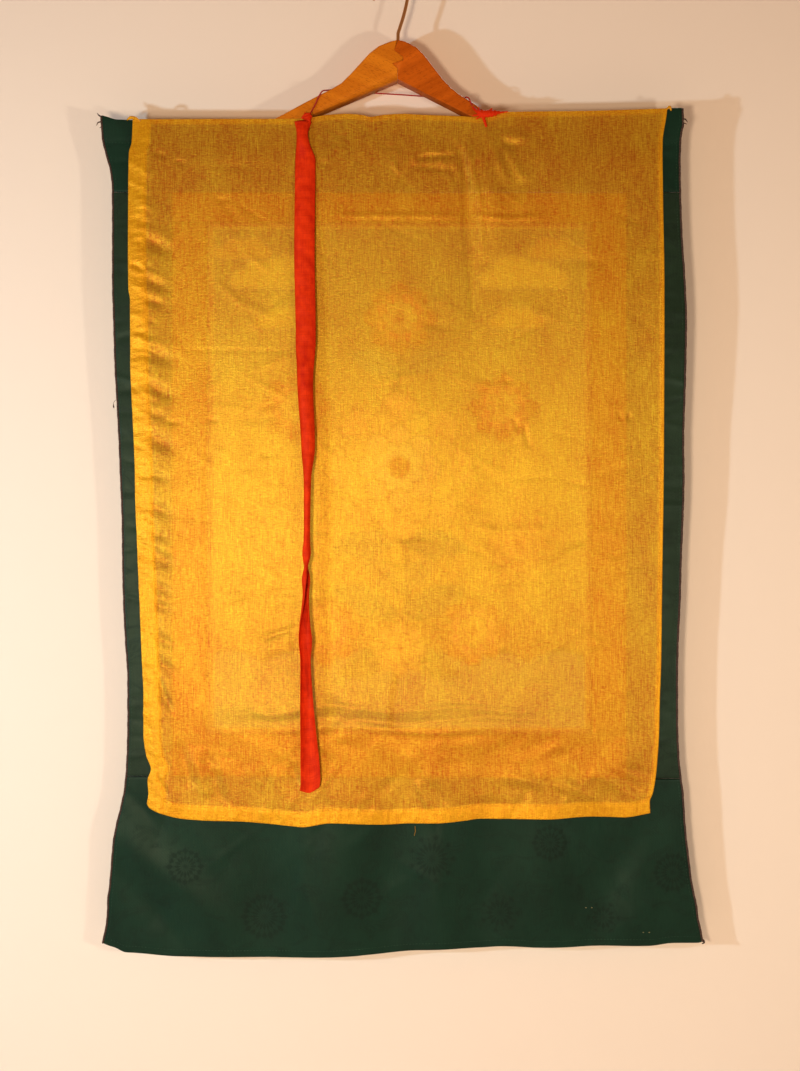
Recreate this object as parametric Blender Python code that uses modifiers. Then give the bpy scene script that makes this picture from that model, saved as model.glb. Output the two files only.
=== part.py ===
"""A thangka scroll painting that hangs by a red cord from a wooden coat hanger.

A painted canvas is framed with orange-red silk and set in a mount of green damask. A sheer golden veil is sewn
along the top edge and hangs over it all. One red ribbon hangs down the front, its twin is tied up in a knot.

The tables hold real millimetres. Across runs to the viewer's right and drop runs down, both from the inside of the
hook's crown. Front runs from the hook's wire towards the viewer.
"""

import math
from collections import namedtuple

import bmesh
import bpy
from mathutils import Vector

MM = 0.001
GAP = 0.3
HALF_GAP = GAP / 2
NEAR = 0.01
FLAT_ANGLE = math.radians(0.5)
SHARP_ANGLE = math.radians(40.0)

# Coat hanger
ARM_THICKNESS = 15.0
ARM_ROUNDING = 1.5
JOINT_REACH = 0.6
ARM_SAMPLES = 22
WIRE = 3.5
WIRE_RESOLUTION = 3
HOOK_RADIUS = 18.2
HOOK_TIP_ANGLE = 205.0
HOOK_STEPS = 20
LEAN_SAMPLES = 18
STEM_ACROSS = 8.0
STEM_FOOT = 90.0
HOLE_DEPTH = 22.5
HOLE_SIDES = 16

# Cloth
DAMASK = 1.6
SILK_BORDER = 1.2
CANVAS = 1.2
VEIL_CLOTH = 1.0
RIBBON_CLOTH = 1.0
RIBBON_WIDTH = 22.0
MOUNT_FRONT = 12.0
EDGE_CORD = 2.2
HANGING_CORD = 1.6

# Lines where the panels meet
FRAME_LEFT = -218.5
FRAME_RIGHT = 237.5
SEAM_TOP = 222.5
SEAM_BOTTOM_LEFT = 808.0
SEAM_BOTTOM_RISE = 2.5 / 555.0
PICTURE_LEFT = -183.5
PICTURE_RIGHT = 202.5
PICTURE_TOP = 252.5
PICTURE_BOTTOM = 766.5

# How far the veil stands off the mount: sewn down at its top edge, loose below
VEIL_SEWN = 0.5
VEIL_LOOSE = 2.4
VEIL_CLOSEST = 1.0
VEIL_FREE_FROM = 150.0
VEIL_FREE_BY = 195.0

# Side outlines, to the outer line of the edge cords
Edge = namedtuple("Edge", "drop across")
MOUNT_LEFT_EDGE = (
    Edge(145.5, -290.0),
    Edge(173.5, -288.0),
    Edge(200.5, -281.0),
    Edge(218.0, -279.0),
    Edge(310.5, -278.5),
    Edge(391.0, -276.5),
    Edge(471.0, -272.5),
    Edge(551.0, -269.5),
    Edge(631.5, -268.0),
    Edge(711.5, -263.5),
    Edge(781.5, -264.0),
    Edge(802.0, -265.0),
    Edge(842.0, -271.0),
    Edge(874.0, -277.5),
    Edge(917.0, -281.5),
    Edge(947.0, -284.5),
    Edge(975.0, -289.0),
)
MOUNT_RIGHT_EDGE = (
    Edge(140.0, 294.0),
    Edge(155.5, 294.5),
    Edge(173.5, 292.0),
    Edge(230.5, 292.0),
    Edge(310.5, 296.0),
    Edge(351.0, 297.5),
    Edge(471.0, 295.5),
    Edge(551.0, 294.5),
    Edge(631.5, 292.0),
    Edge(711.5, 289.0),
    Edge(786.5, 290.0),
    Edge(827.0, 294.0),
    Edge(874.0, 298.0),
    Edge(907.0, 302.0),
    Edge(950.0, 309.5),
    Edge(974.0, 314.5),
)
VEIL_LEFT_EDGE = (
    Edge(150.0, -257.5),
    Edge(184.0, -261.0),
    Edge(321.0, -261.0),
    Edge(395.0, -259.5),
    Edge(497.0, -255.5),
    Edge(582.0, -253.0),
    Edge(684.0, -248.5),
    Edge(765.0, -246.5),
    Edge(800.0, -239.5),
    Edge(815.0, -242.0),
    Edge(837.0, -243.0),
)
VEIL_RIGHT_EDGE = (
    Edge(139.0, 277.5),
    Edge(160.0, 274.5),
    Edge(188.0, 272.5),
    Edge(311.0, 274.0),
    Edge(471.0, 274.0),
    Edge(631.0, 272.5),
    Edge(731.0, 270.0),
    Edge(800.0, 266.5),
    Edge(833.0, 259.5),
    Edge(844.0, 260.0),
)

# Top and bottom outlines
Rim = namedtuple("Rim", "across drop")
MOUNT_TOP_RIM = (
    Rim(-290.0, 145.5),
    Rim(-273.5, 150.0),
    Rim(-91.0, 150.5),
    Rim(-62.0, 146.5),
    Rim(-44.0, 145.5),
    Rim(-20.0, 148.5),
    Rim(13.0, 145.5),
    Rim(74.0, 148.0),
    Rim(91.0, 149.0),
    Rim(118.0, 143.5),
    Rim(193.5, 142.5),
    Rim(282.5, 138.5),
    Rim(294.0, 138.5),
)
MOUNT_BOTTOM_RIM = (
    Rim(-289.0, 975.0),
    Rim(-275.0, 980.5),
    Rim(-255.5, 985.5),
    Rim(-214.5, 989.0),
    Rim(-100.0, 990.0),
    Rim(-13.5, 987.0),
    Rim(31.0, 982.5),
    Rim(113.0, 979.0),
    Rim(156.5, 980.0),
    Rim(259.5, 978.0),
    Rim(284.0, 975.5),
    Rim(314.5, 974.0),
)
VEIL_TOP_RIM = (
    Rim(-257.5, 150.0),
    Rim(-91.0, 149.5),
    Rim(-62.0, 145.5),
    Rim(-44.0, 144.5),
    Rim(-19.5, 147.5),
    Rim(13.0, 144.5),
    Rim(74.0, 147.0),
    Rim(91.0, 148.5),
    Rim(118.0, 142.5),
    Rim(193.0, 141.5),
    Rim(277.5, 139.0),
)
VEIL_BOTTOM_RIM = (
    Rim(-243.0, 836.0),
    Rim(-224.0, 846.0),
    Rim(-179.5, 852.0),
    Rim(-128.0, 854.5),
    Rim(-88.0, 858.0),
    Rim(-60.0, 854.0),
    Rim(-7.0, 856.0),
    Rim(48.0, 854.0),
    Rim(90.0, 850.0),
    Rim(233.5, 848.5),
    Rim(260.0, 844.0),
)

# A fold is a soft ridge, or a trough where its rise is below zero. Lean turns its length from upright.
Fold = namedtuple("Fold", "across drop half_width half_length lean rise")
MOUNT_FOLDS = (
    Fold(-58.0, 925.0, 40.0, 95.0, 0.0, 5.0),
    Fold(-127.0, 920.0, 28.0, 95.0, 0.0, -3.0),
    Fold(-10.0, 930.0, 26.0, 95.0, 0.0, -3.0),
    Fold(32.0, 920.0, 26.0, 85.0, 0.0, 4.5),
    Fold(78.0, 930.0, 26.0, 85.0, 0.0, -2.5),
    Fold(140.0, 915.0, 32.0, 95.0, 2.0, 5.0),
    Fold(192.0, 920.0, 26.0, 95.0, 0.0, -3.5),
    Fold(256.0, 915.0, 30.0, 90.0, -6.0, 4.5),
    Fold(-210.0, 921.0, 18.0, 75.0, 57.0, 4.5),
    Fold(235.0, 891.0, 16.0, 50.0, -32.0, -3.0),
    Fold(247.0, 951.0, 16.0, 32.0, -48.0, 2.5),
    Fold(-275.0, 880.0, 30.0, 60.0, 8.0, 3.0),
    Fold(-60.0, 500.0, 130.0, 200.0, 0.0, 2.5),
    Fold(140.0, 560.0, 110.0, 190.0, 0.0, -2.0),
    Fold(-262.0, 300.0, 26.0, 80.0, 0.0, 2.5),
    Fold(-255.0, 560.0, 26.0, 90.0, 0.0, -2.0),
    Fold(280.0, 350.0, 26.0, 90.0, 0.0, 2.5),
    Fold(276.0, 620.0, 24.0, 90.0, 0.0, -2.5),
    Fold(-284.0, 147.0, 20.0, 24.0, 0.0, 3.0),
    Fold(296.0, 150.0, 16.0, 20.0, 0.0, 2.0),
)
VEIL_FOLDS = (
    Fold(100.0, 222.0, 15.0, 48.0, 6.0, 3.5),
    Fold(80.0, 270.0, 14.0, 90.0, 0.0, -1.4),
    Fold(-62.0, 215.0, 18.0, 60.0, -8.0, 1.6),
    Fold(190.0, 300.0, 30.0, 110.0, 4.0, 1.5),
    Fold(20.0, 420.0, 34.0, 150.0, -3.0, 1.6),
    Fold(150.0, 560.0, 30.0, 150.0, 2.0, 1.4),
    Fold(-228.0, 262.0, 13.0, 24.0, 72.0, 2.6),
    Fold(-226.0, 330.0, 14.0, 24.0, 76.0, 2.2),
    Fold(-224.0, 408.0, 13.0, 26.0, 70.0, 3.0),
    Fold(-222.0, 470.0, 13.0, 24.0, 74.0, 2.6),
    Fold(-220.0, 528.0, 13.0, 24.0, 70.0, 3.0),
    Fold(-218.0, 620.0, 14.0, 28.0, 66.0, 3.2),
    Fold(-214.0, 694.0, 14.0, 28.0, 60.0, 3.0),
    Fold(-60.0, 735.0, 14.0, 120.0, 92.0, 2.6),
    Fold(90.0, 756.0, 14.0, 110.0, 86.0, 2.4),
    Fold(20.0, 790.0, 16.0, 60.0, 60.0, 1.8),
    Fold(212.0, 806.0, 14.0, 44.0, -55.0, 3.0),
    Fold(-228.0, 812.0, 14.0, 34.0, 24.0, 3.4),
    Fold(-120.0, 812.0, 18.0, 50.0, 12.0, 1.8),
)

# The hanging ribbon: its middle, how wide its curled section is and how far it is squeezed from a round curl, how far
# the section is turned, and how far it stands off the veil
Reach = namedtuple("Reach", "drop middle spread squeeze turn stand")
RIBBON = (
    Reach(152.7, -87.0, 18.5, 1.0, 0.0, 0.4),
    Reach(165.5, -87.5, 12.5, 1.0, 0.0, 0.6),
    Reach(173.5, -87.0, 14.0, 1.0, 0.0, 0.8),
    Reach(193.0, -84.5, 21.5, 1.0, 0.0, 1.2),
    Reach(282.5, -85.0, 21.5, 1.0, 0.0, 3.0),
    Reach(372.5, -83.5, 21.0, 1.0, 0.0, 3.5),
    Reach(412.0, -84.0, 17.0, 1.0, 0.0, 3.5),
    Reach(481.5, -81.0, 14.5, 1.0, 0.0, 3.2),
    Reach(511.5, -81.5, 8.5, 0.82, 0.0, 3.0),
    Reach(571.0, -82.0, 7.2, 0.7, 10.0, 3.0),
    Reach(598.0, -82.7, 12.0, 1.32, 90.0, 3.0),
    Reach(624.0, -83.0, 7.6, 0.8, 170.0, 3.0),
    Reach(656.0, -84.0, 12.1, 1.0, 180.0, 3.0),
    Reach(670.5, -83.5, 14.5, 1.0, 180.0, 3.0),
    Reach(690.5, -83.5, 11.7, 1.0, 180.0, 2.6),
    Reach(750.5, -81.5, 15.5, 1.0, 180.0, 2.0),
    Reach(815.0, -79.0, 20.8, 1.0, 180.0, 1.0),
    Reach(823.0, -80.0, 20.8, 1.0, 180.0, 0.8),
)
RIBBON_COLUMNS = 10
RIBBON_ROWS = 34
TIGHTEST_CURL = math.radians(320.0)

# Hanger outlines on its front face
ARM_TOP_LEFT = (
    Rim(-201.0, 184.0),
    Rim(-151.0, 163.0),
    Rim(-115.5, 147.0),
    Rim(-89.5, 133.0),
    Rim(-64.5, 120.0),
    Rim(-50.5, 112.5),
    Rim(-40.5, 103.0),
    Rim(-30.0, 91.5),
    Rim(-17.5, 78.5),
    Rim(-5.0, 71.0),
    Rim(8.0, 68.5),
)
ARM_TOP_RIGHT = (
    Rim(8.0, 68.5),
    Rim(17.0, 70.3),
    Rim(25.5, 74.5),
    Rim(38.0, 87.5),
    Rim(50.0, 104.0),
    Rim(64.5, 119.0),
    Rim(79.5, 129.0),
    Rim(110.5, 149.0),
    Rim(160.0, 176.0),
    Rim(206.0, 199.5),
)
APEX = Rim(7.5, 107.5)
ARM_SLOPE_LEFT = 0.421
ARM_SLOPE_RIGHT = 0.509
ARM_END_REACH = 4.5
ARM_END_SHARES = (0.75, 0.5, 0.25)
FINGER_JOINT = (
    Rim(8.0, 68.5),
    Rim(4.0, 78.5),
    Rim(13.0, 85.5),
    Rim(13.0, 89.0),
    Rim(2.0, 92.0),
    Rim(7.5, 97.0),
    APEX,
)

# Routes in space, from end to end
Stop = namedtuple("Stop", "across drop front")
STEM_ROUTE = (
    Stop(STEM_ACROSS, STEM_FOOT, 0.0),
    Stop(STEM_ACROSS, 74.0, 0.0),
    Stop(STEM_ACROSS, 60.0, 0.0),
    Stop(9.5, 54.5, 0.0),
    Stop(13.0, 43.5, 0.0),
    Stop(15.6, 33.5, 0.0),
    Stop(17.6, 24.0, 0.0),
)
CORD_ROUTE = (
    Stop(-79.4, 143.2, 12.8),
    Stop(-78.2, 140.0, 10.2),
    Stop(-75.5, 134.5, 8.9),
    Stop(-71.5, 125.6, 8.9),
    Stop(-69.3, 121.9, 8.8),
    Stop(-67.6, 119.6, 7.4),
    Stop(-65.4, 118.1, 4.5),
    Stop(-62.5, 116.6, 0.5),
    Stop(-59.4, 114.7, -3.8),
    Stop(-56.6, 112.9, -7.2),
    Stop(-53.6, 113.0, -9.0),
    Stop(-49.0, 114.0, -9.2),
    Stop(-17.0, 116.5, -8.9),
    Stop(8.0, 118.0, -8.9),
    Stop(30.0, 119.5, -8.9),
    Stop(64.0, 121.6, -9.2),
    Stop(69.4, 121.2, -8.8),
    Stop(72.2, 121.6, -6.4),
    Stop(74.6, 123.2, -2.0),
    Stop(76.6, 124.7, 3.0),
    Stop(78.2, 126.1, 7.2),
    Stop(79.8, 128.9, 8.9),
    Stop(81.2, 132.0, 9.0),
    Stop(82.2, 134.6, 9.2),
)
CORD_SAMPLES = 40
CORD_RESOLUTION = 2
EDGE_CORD_RESOLUTION = 1

# Strands of the knots: where they run and how thick they are there
Lump = namedtuple("Lump", "across drop front radius")
KNOT_LEFT_STRANDS = (
    (
        Lump(-80.6, 146.4, 15.8, 1.2),
        Lump(-82.2, 148.6, 17.0, 1.5),
        Lump(-85.0, 149.4, 16.4, 1.3),
    ),
    (
        Lump(-87.6, 149.4, 15.2, 1.0),
        Lump(-85.2, 146.9, 15.5, 1.5),
        Lump(-82.2, 146.2, 15.8, 1.9),
        Lump(-80.0, 148.3, 15.7, 1.9),
        Lump(-81.6, 150.5, 15.5, 1.6),
        Lump(-85.4, 150.9, 15.2, 1.2),
    ),
    (
        Lump(-84.0, 147.0, 15.8, 0.9),
        Lump(-85.2, 143.4, 14.8, 0.4),
    ),
)
TIE_RIGHT_STRANDS = (
    (
        Lump(85.0, 139.8, 12.2, 1.3),
        Lump(88.4, 143.0, 15.0, 2.0),
        Lump(92.2, 145.2, 16.6, 2.5),
        Lump(97.0, 145.6, 16.7, 2.6),
        Lump(101.4, 143.9, 16.3, 2.3),
        Lump(107.0, 143.9, 15.4, 1.3),
        Lump(117.5, 142.8, 14.6, 0.5),
    ),
    (Lump(97.0, 145.2, 16.5, 1.9), Lump(101.6, 140.4, 15.8, 0.8)),
    (Lump(92.0, 146.6, 16.2, 1.6), Lump(94.4, 152.0, 15.6, 1.3), Lump(96.0, 157.4, 15.6, 1.1)),
    (Lump(90.6, 146.0, 16.0, 1.4), Lump(82.6, 146.7, 15.0, 0.4)),
    (Lump(91.4, 147.2, 16.0, 1.2), Lump(86.0, 150.4, 14.8, 0.4)),
    (Lump(88.2, 142.8, 14.6, 1.2), Lump(89.0, 138.0, 13.6, 0.4)),
)
KNOT_RESOLUTION = 2

# Finishes
Finish = namedtuple("Finish", "name colour roughness metallic")
BEECH = Finish("varnished beech", (0.55, 0.24, 0.05), 0.35, 0.0)
BEECH_DARK = Finish("varnished beech, darker board", (0.44, 0.15, 0.03), 0.35, 0.0)
STEEL_WIRE = Finish("plated wire", (0.62, 0.56, 0.5), 0.28, 1.0)
GREEN_DAMASK = Finish("green damask", (0.03, 0.06, 0.045), 0.55, 0.0)
ORANGE_SILK = Finish("orange-red silk", (0.7, 0.18, 0.04), 0.5, 0.0)
PAINTED_CANVAS = Finish("painted canvas", (0.6, 0.5, 0.28), 0.8, 0.0)
GOLD_VEIL = Finish("golden veil silk", (0.75, 0.4, 0.03), 0.42, 0.0)
DARK_CORD = Finish("dark edge cord", (0.03, 0.015, 0.012), 0.7, 0.0)
RED_SILK = Finish("red silk", (0.66, 0.03, 0.008), 0.45, 0.0)
RED_THREAD = Finish("red cord", (0.42, 0.01, 0.01), 0.6, 0.0)


def place(across: float, drop: float, front: float) -> Vector:
    """A point in metres from its three measures in millimetres."""
    return Vector((across, -front, -drop)) * MM


def slope_at(table, row: int) -> float:
    """How steeply a table changes at one of its rows, and level where it turns."""
    if row in (0, len(table) - 1):
        first, second = (table[0], table[1]) if row == 0 else (table[-2], table[-1])
        return (second[1] - first[1]) / (second[0] - first[0])
    before, here, after = table[row - 1], table[row], table[row + 1]
    rising_in = (here[1] - before[1]) / (here[0] - before[0])
    rising_out = (after[1] - here[1]) / (after[0] - here[0])
    if rising_in * rising_out <= 0:
        return 0.0
    return 2 * rising_in * rising_out / (rising_in + rising_out)


def read(table, at: float, column: int = 1) -> float:
    """A column of a table at a place in its first column, on a smooth curve through its rows."""
    rows = [(row[0], row[column]) for row in table]
    if at <= rows[0][0]:
        return rows[0][1]
    if at >= rows[-1][0]:
        return rows[-1][1]
    after = next(i for i, row in enumerate(rows) if row[0] >= at)
    (start, low), (end, high) = rows[after - 1], rows[after]
    span = end - start
    t = (at - start) / span
    pull_in = slope_at(rows, after - 1) * span
    pull_out = slope_at(rows, after) * span
    return (
        low * (1 + 2 * t) * (1 - t) ** 2
        + pull_in * t * (1 - t) ** 2
        + high * t * t * (3 - 2 * t)
        - pull_out * t * t * (1 - t)
    )


def ease(at: float, start: float, end: float) -> float:
    """Rises smoothly from 0 at start to 1 at end."""
    t = min(max((at - start) / (end - start), 0.0), 1.0)
    return t * t * (3 - 2 * t)


def rise_of(folds, across: float, drop: float) -> float:
    """How far a table of folds lifts the cloth towards the viewer at one place."""
    total = 0.0
    for fold in folds:
        lean = math.radians(fold.lean)
        aside, down = across - fold.across, drop - fold.drop
        along = down * math.cos(lean) + aside * math.sin(lean)
        beside = aside * math.cos(lean) - down * math.sin(lean)
        total += fold.rise * math.exp(-((along / fold.half_length) ** 2) - (beside / fold.half_width) ** 2)
    return total


def mount_front(across: float, drop: float) -> float:
    """Front of the mount, its border and its picture, which all hang as one cloth."""
    return MOUNT_FRONT + rise_of(MOUNT_FOLDS, across, drop)


def veil_back(across: float, drop: float) -> float:
    """Back of the veil: sewn to the mount along the top, then loose over it in its own folds."""
    loose = ease(drop, VEIL_FREE_FROM, VEIL_FREE_BY)
    stand = VEIL_SEWN + (VEIL_LOOSE - VEIL_SEWN) * loose
    folded = stand + loose * rise_of(VEIL_FOLDS, across, drop)
    return mount_front(across, drop) + max(folded, min(stand, VEIL_CLOSEST))


def seam_bottom(across: float) -> float:
    """Drop of the seam above the bottom panel."""
    return SEAM_BOTTOM_LEFT + (across - MOUNT_LEFT_EDGE[-1].across) * SEAM_BOTTOM_RISE


def mount_left(drop: float) -> float:
    """Left edge of the mount's cloth, inside the edge cord."""
    return read(MOUNT_LEFT_EDGE, drop) + EDGE_CORD + GAP


def mount_right(drop: float) -> float:
    """Right edge of the mount's cloth, inside the edge cord."""
    return read(MOUNT_RIGHT_EDGE, drop) - EDGE_CORD - GAP


# A panel lies between four edges: left and right by drop, top and bottom by across
Panel = namedtuple("Panel", "name left right top bottom columns rows")


def straight(value: float):
    """An edge that keeps one value."""
    return lambda at: value


MOUNT_PANELS = (
    Panel(
        "mount_top",
        mount_left,
        mount_right,
        lambda across: read(MOUNT_TOP_RIM, across),
        straight(SEAM_TOP - HALF_GAP),
        24,
        4,
    ),
    Panel(
        "mount_left",
        mount_left,
        straight(FRAME_LEFT - HALF_GAP),
        straight(SEAM_TOP + HALF_GAP),
        lambda across: seam_bottom(across) - HALF_GAP,
        3,
        22,
    ),
    Panel(
        "mount_right",
        straight(FRAME_RIGHT + HALF_GAP),
        mount_right,
        straight(SEAM_TOP + HALF_GAP),
        lambda across: seam_bottom(across) - HALF_GAP,
        3,
        22,
    ),
    Panel(
        "mount_bottom",
        mount_left,
        mount_right,
        lambda across: seam_bottom(across) + HALF_GAP,
        lambda across: read(MOUNT_BOTTOM_RIM, across),
        26,
        8,
    ),
)
BORDER_PANELS = (
    Panel(
        "border_top",
        straight(FRAME_LEFT + HALF_GAP),
        straight(FRAME_RIGHT - HALF_GAP),
        straight(SEAM_TOP + HALF_GAP),
        straight(PICTURE_TOP - HALF_GAP),
        16,
        2,
    ),
    Panel(
        "border_left",
        straight(FRAME_LEFT + HALF_GAP),
        straight(PICTURE_LEFT - HALF_GAP),
        straight(PICTURE_TOP + HALF_GAP),
        straight(PICTURE_BOTTOM - HALF_GAP),
        2,
        16,
    ),
    Panel(
        "border_right",
        straight(PICTURE_RIGHT + HALF_GAP),
        straight(FRAME_RIGHT - HALF_GAP),
        straight(PICTURE_TOP + HALF_GAP),
        straight(PICTURE_BOTTOM - HALF_GAP),
        2,
        16,
    ),
    Panel(
        "border_bottom",
        straight(FRAME_LEFT + HALF_GAP),
        straight(FRAME_RIGHT - HALF_GAP),
        straight(PICTURE_BOTTOM + HALF_GAP),
        lambda across: seam_bottom(across) - HALF_GAP,
        16,
        2,
    ),
)
PICTURE = Panel(
    "picture",
    straight(PICTURE_LEFT + HALF_GAP),
    straight(PICTURE_RIGHT - HALF_GAP),
    straight(PICTURE_TOP + HALF_GAP),
    straight(PICTURE_BOTTOM - HALF_GAP),
    12,
    14,
)
VEIL = Panel(
    "veil",
    lambda drop: read(VEIL_LEFT_EDGE, drop),
    lambda drop: read(VEIL_RIGHT_EDGE, drop),
    lambda across: read(VEIL_TOP_RIM, across),
    lambda across: read(VEIL_BOTTOM_RIM, across),
    26,
    32,
)


def spot(panel: Panel, share_across: float, share_down: float) -> tuple:
    """Across and drop of the place that lies these shares of the way over a panel."""
    across = 0.0
    drop = panel.top(across) + share_down * (panel.bottom(across) - panel.top(across))
    for _ in range(4):
        left, right = panel.left(drop), panel.right(drop)
        across = left + share_across * (right - left)
        drop = panel.top(across) + share_down * (panel.bottom(across) - panel.top(across))
    return across, drop


def clear_scene():
    """Removes every object of the scene that the script starts in."""
    for thing in list(bpy.data.objects):
        bpy.data.objects.remove(thing, do_unlink=True)


def new_collection(name: str):
    """A collection under the scene's own."""
    collection = bpy.data.collections.new(name)
    bpy.context.scene.collection.children.link(collection)
    return collection


def material_for(finish: Finish):
    """The Principled material of a finish, made once."""
    found = bpy.data.materials.get(finish.name)
    if found:
        return found
    material = bpy.data.materials.new(finish.name)
    material.use_nodes = True
    shader = material.node_tree.nodes["Principled BSDF"]
    shader.inputs["Base Color"].default_value = (*finish.colour, 1.0)
    shader.inputs["Roughness"].default_value = finish.roughness
    shader.inputs["Metallic"].default_value = finish.metallic
    return material


def add_object(name: str, data, finish: Finish, collection):
    """Puts a mesh or curve in the collection under its name, with its material."""
    thing = bpy.data.objects.new(name, data)
    data.materials.append(material_for(finish))
    collection.objects.link(thing)
    return thing


def smooth_mesh(mesh):
    """Shades a mesh smooth, with its sharp edges left sharp."""
    mesh.shade_smooth()
    mesh.set_sharp_from_angle(angle=SHARP_ANGLE)


def cloth_from_grid(name, columns, rows, point_at, thickness, side, finish, collection):
    """A grid laid over the cloth by point_at and thickened by Solidify, away from the viewer if side is -1."""
    mesh = bpy.data.meshes.new(name)
    shape = bmesh.new()
    bmesh.ops.create_grid(shape, x_segments=columns, y_segments=rows, size=0.5)
    for corner in shape.verts:
        corner.co = point_at(corner.co.x + 0.5, 0.5 - corner.co.y)
    shape.to_mesh(mesh)
    shape.free()
    smooth_mesh(mesh)
    cloth = add_object(name, mesh, finish, collection)
    wall = cloth.modifiers.new("Thickness", "SOLIDIFY")
    wall.thickness = thickness * MM
    wall.offset = side
    return cloth


def make_panel(panel: Panel, front_of, thickness, side, finish, collection):
    """One flat-cut panel on the surface that front_of gives."""

    def point_at(share_across, share_down):
        across, drop = spot(panel, share_across, share_down)
        return place(across, drop, front_of(across, drop))

    return cloth_from_grid(
        panel.name, panel.columns, panel.rows, point_at, thickness, side, finish, collection
    )


def curl_for(spread: float) -> float:
    """The angle that the ribbon curls through to look this wide."""
    low, high = math.radians(1.0), TIGHTEST_CURL
    for _ in range(30):
        curl = (low + high) / 2
        half = curl / 2
        seen = RIBBON_WIDTH / half * (math.sin(half) if half < math.pi / 2 else 1.0)
        low, high = (curl, high) if seen > spread else (low, curl)
    return curl


def ribbon_section(spread: float, squeeze: float, turn: float, share: float) -> tuple:
    """Side and front of a point of the ribbon's cross-section, from its middle line."""
    curl = curl_for(spread / squeeze)
    radius = RIBBON_WIDTH / curl
    angle = (share - 0.5) * curl
    side = radius * math.sin(angle) * squeeze
    front = radius * (math.cos(angle) - math.cos(curl / 4)) * math.sqrt(2 - squeeze * squeeze)
    turned = math.radians(turn)
    return (
        side * math.cos(turned) - front * math.sin(turned),
        side * math.sin(turned) + front * math.cos(turned),
    )


def make_ribbon(collection):
    """The ribbon that hangs down the front, curled and once twisted."""
    top, bottom = RIBBON[0].drop, RIBBON[-1].drop
    shares = [i / RIBBON_COLUMNS for i in range(RIBBON_COLUMNS + 1)]

    def point_at(share_across, share_down):
        drop = top + share_down * (bottom - top)
        middle, spread, squeeze, turn, stand = (read(RIBBON, drop, column) for column in range(1, 6))
        inner_spread = spread - 2 * RIBBON_CLOTH
        side, front = ribbon_section(inner_spread, squeeze, turn, share_across)
        sides = [ribbon_section(inner_spread, squeeze, turn, share) for share in shares]
        backmost = min(front_here for _, front_here in sides)
        centre = (min(side_here for side_here, _ in sides) + max(side_here for side_here, _ in sides)) / 2
        base = veil_back(middle, drop) + VEIL_CLOTH + stand + RIBBON_CLOTH
        return place(middle + side - centre, drop, base + front - backmost)

    return cloth_from_grid(
        "ribbon_left", RIBBON_COLUMNS, RIBBON_ROWS, point_at, RIBBON_CLOTH, 1, RED_SILK, collection
    )


def wire_curve(name: str, points, radii, resolution: int, finish, collection):
    """A round wire or strand through points, with filled ends. Radii are in millimetres."""
    curve = bpy.data.curves.new(name, "CURVE")
    curve.dimensions = "3D"
    curve.bevel_depth = MM
    curve.bevel_resolution = resolution
    curve.use_fill_caps = True
    line = curve.splines.new("POLY")
    line.points.add(len(points) - 1)
    for knot, point, radius in zip(line.points, points, radii):
        knot.co = (*point, 1.0)
        knot.radius = radius
    line.use_smooth = True
    return add_object(name, curve, finish, collection)


def as_mesh(thing, collection):
    """Turns a curve object into a mesh object with its caps welded on."""
    bpy.context.view_layer.update()
    name, place_in_world = thing.name, thing.matrix_world.copy()
    evaluated = thing.evaluated_get(bpy.context.evaluated_depsgraph_get())
    mesh = bpy.data.meshes.new_from_object(evaluated)
    bpy.data.objects.remove(thing, do_unlink=True)
    shape = bmesh.new()
    shape.from_mesh(mesh)
    bmesh.ops.remove_doubles(shape, verts=shape.verts[:], dist=NEAR * MM / 10)
    shape.to_mesh(mesh)
    shape.free()
    made = bpy.data.objects.new(name, mesh)
    made.matrix_world = place_in_world
    collection.objects.link(made)
    return made


def smooth_route(stops, samples: int) -> list:
    """Evenly shared points on a smooth curve through a list of points in space."""
    points = [place(*stop) for stop in stops]
    lengths = [0.0]
    for before, after in zip(points, points[1:]):
        lengths.append(lengths[-1] + (after - before).length)
    columns = [[(length, point[i]) for length, point in zip(lengths, points)] for i in range(3)]
    steps = [lengths[-1] * i / (samples - 1) for i in range(samples)]
    return [Vector(read(column, step) for column in columns) for step in steps]


def shifted_joint(distance: float) -> list:
    """The finger joint's zigzag line, moved to its right by a distance and mitred at its corners."""
    points = [Vector(corner) for corner in FINGER_JOINT]
    runs = [(after - before).normalized() for before, after in zip(points, points[1:])]
    line = []
    for point, run_in, run_out in zip(points, runs[:1] + runs, runs + runs[-1:]):
        both = run_in + run_out
        shift = Vector((both.y, -both.x)) * distance / (1 + run_in.dot(run_out))
        line.append(Rim(*(point + shift)))
    return line


def arm_outline(top_table, slope: float, side: int) -> list:
    """One arm's outline, from its hidden end along the top, down the joint and back. Side is -1 for the left."""
    end = top_table[0] if side < 0 else top_table[-1]
    centre = STEM_ACROSS + side * HALF_GAP
    acrosses = [end.across + (centre - end.across) * i / ARM_SAMPLES for i in range(ARM_SAMPLES + 1)]
    outline = [Rim(across, read(top_table, across)) for across in acrosses]
    outline[-1:] = shifted_joint(side * HALF_GAP)
    low_end = APEX.drop + slope * abs(end.across - APEX.across)
    outline.append(Rim(end.across, low_end))
    for share in ARM_END_SHARES:
        bulge = side * ARM_END_REACH * math.sin(math.pi * share)
        outline.append(Rim(end.across + bulge, end.drop + (low_end - end.drop) * share))
    return outline


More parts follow.
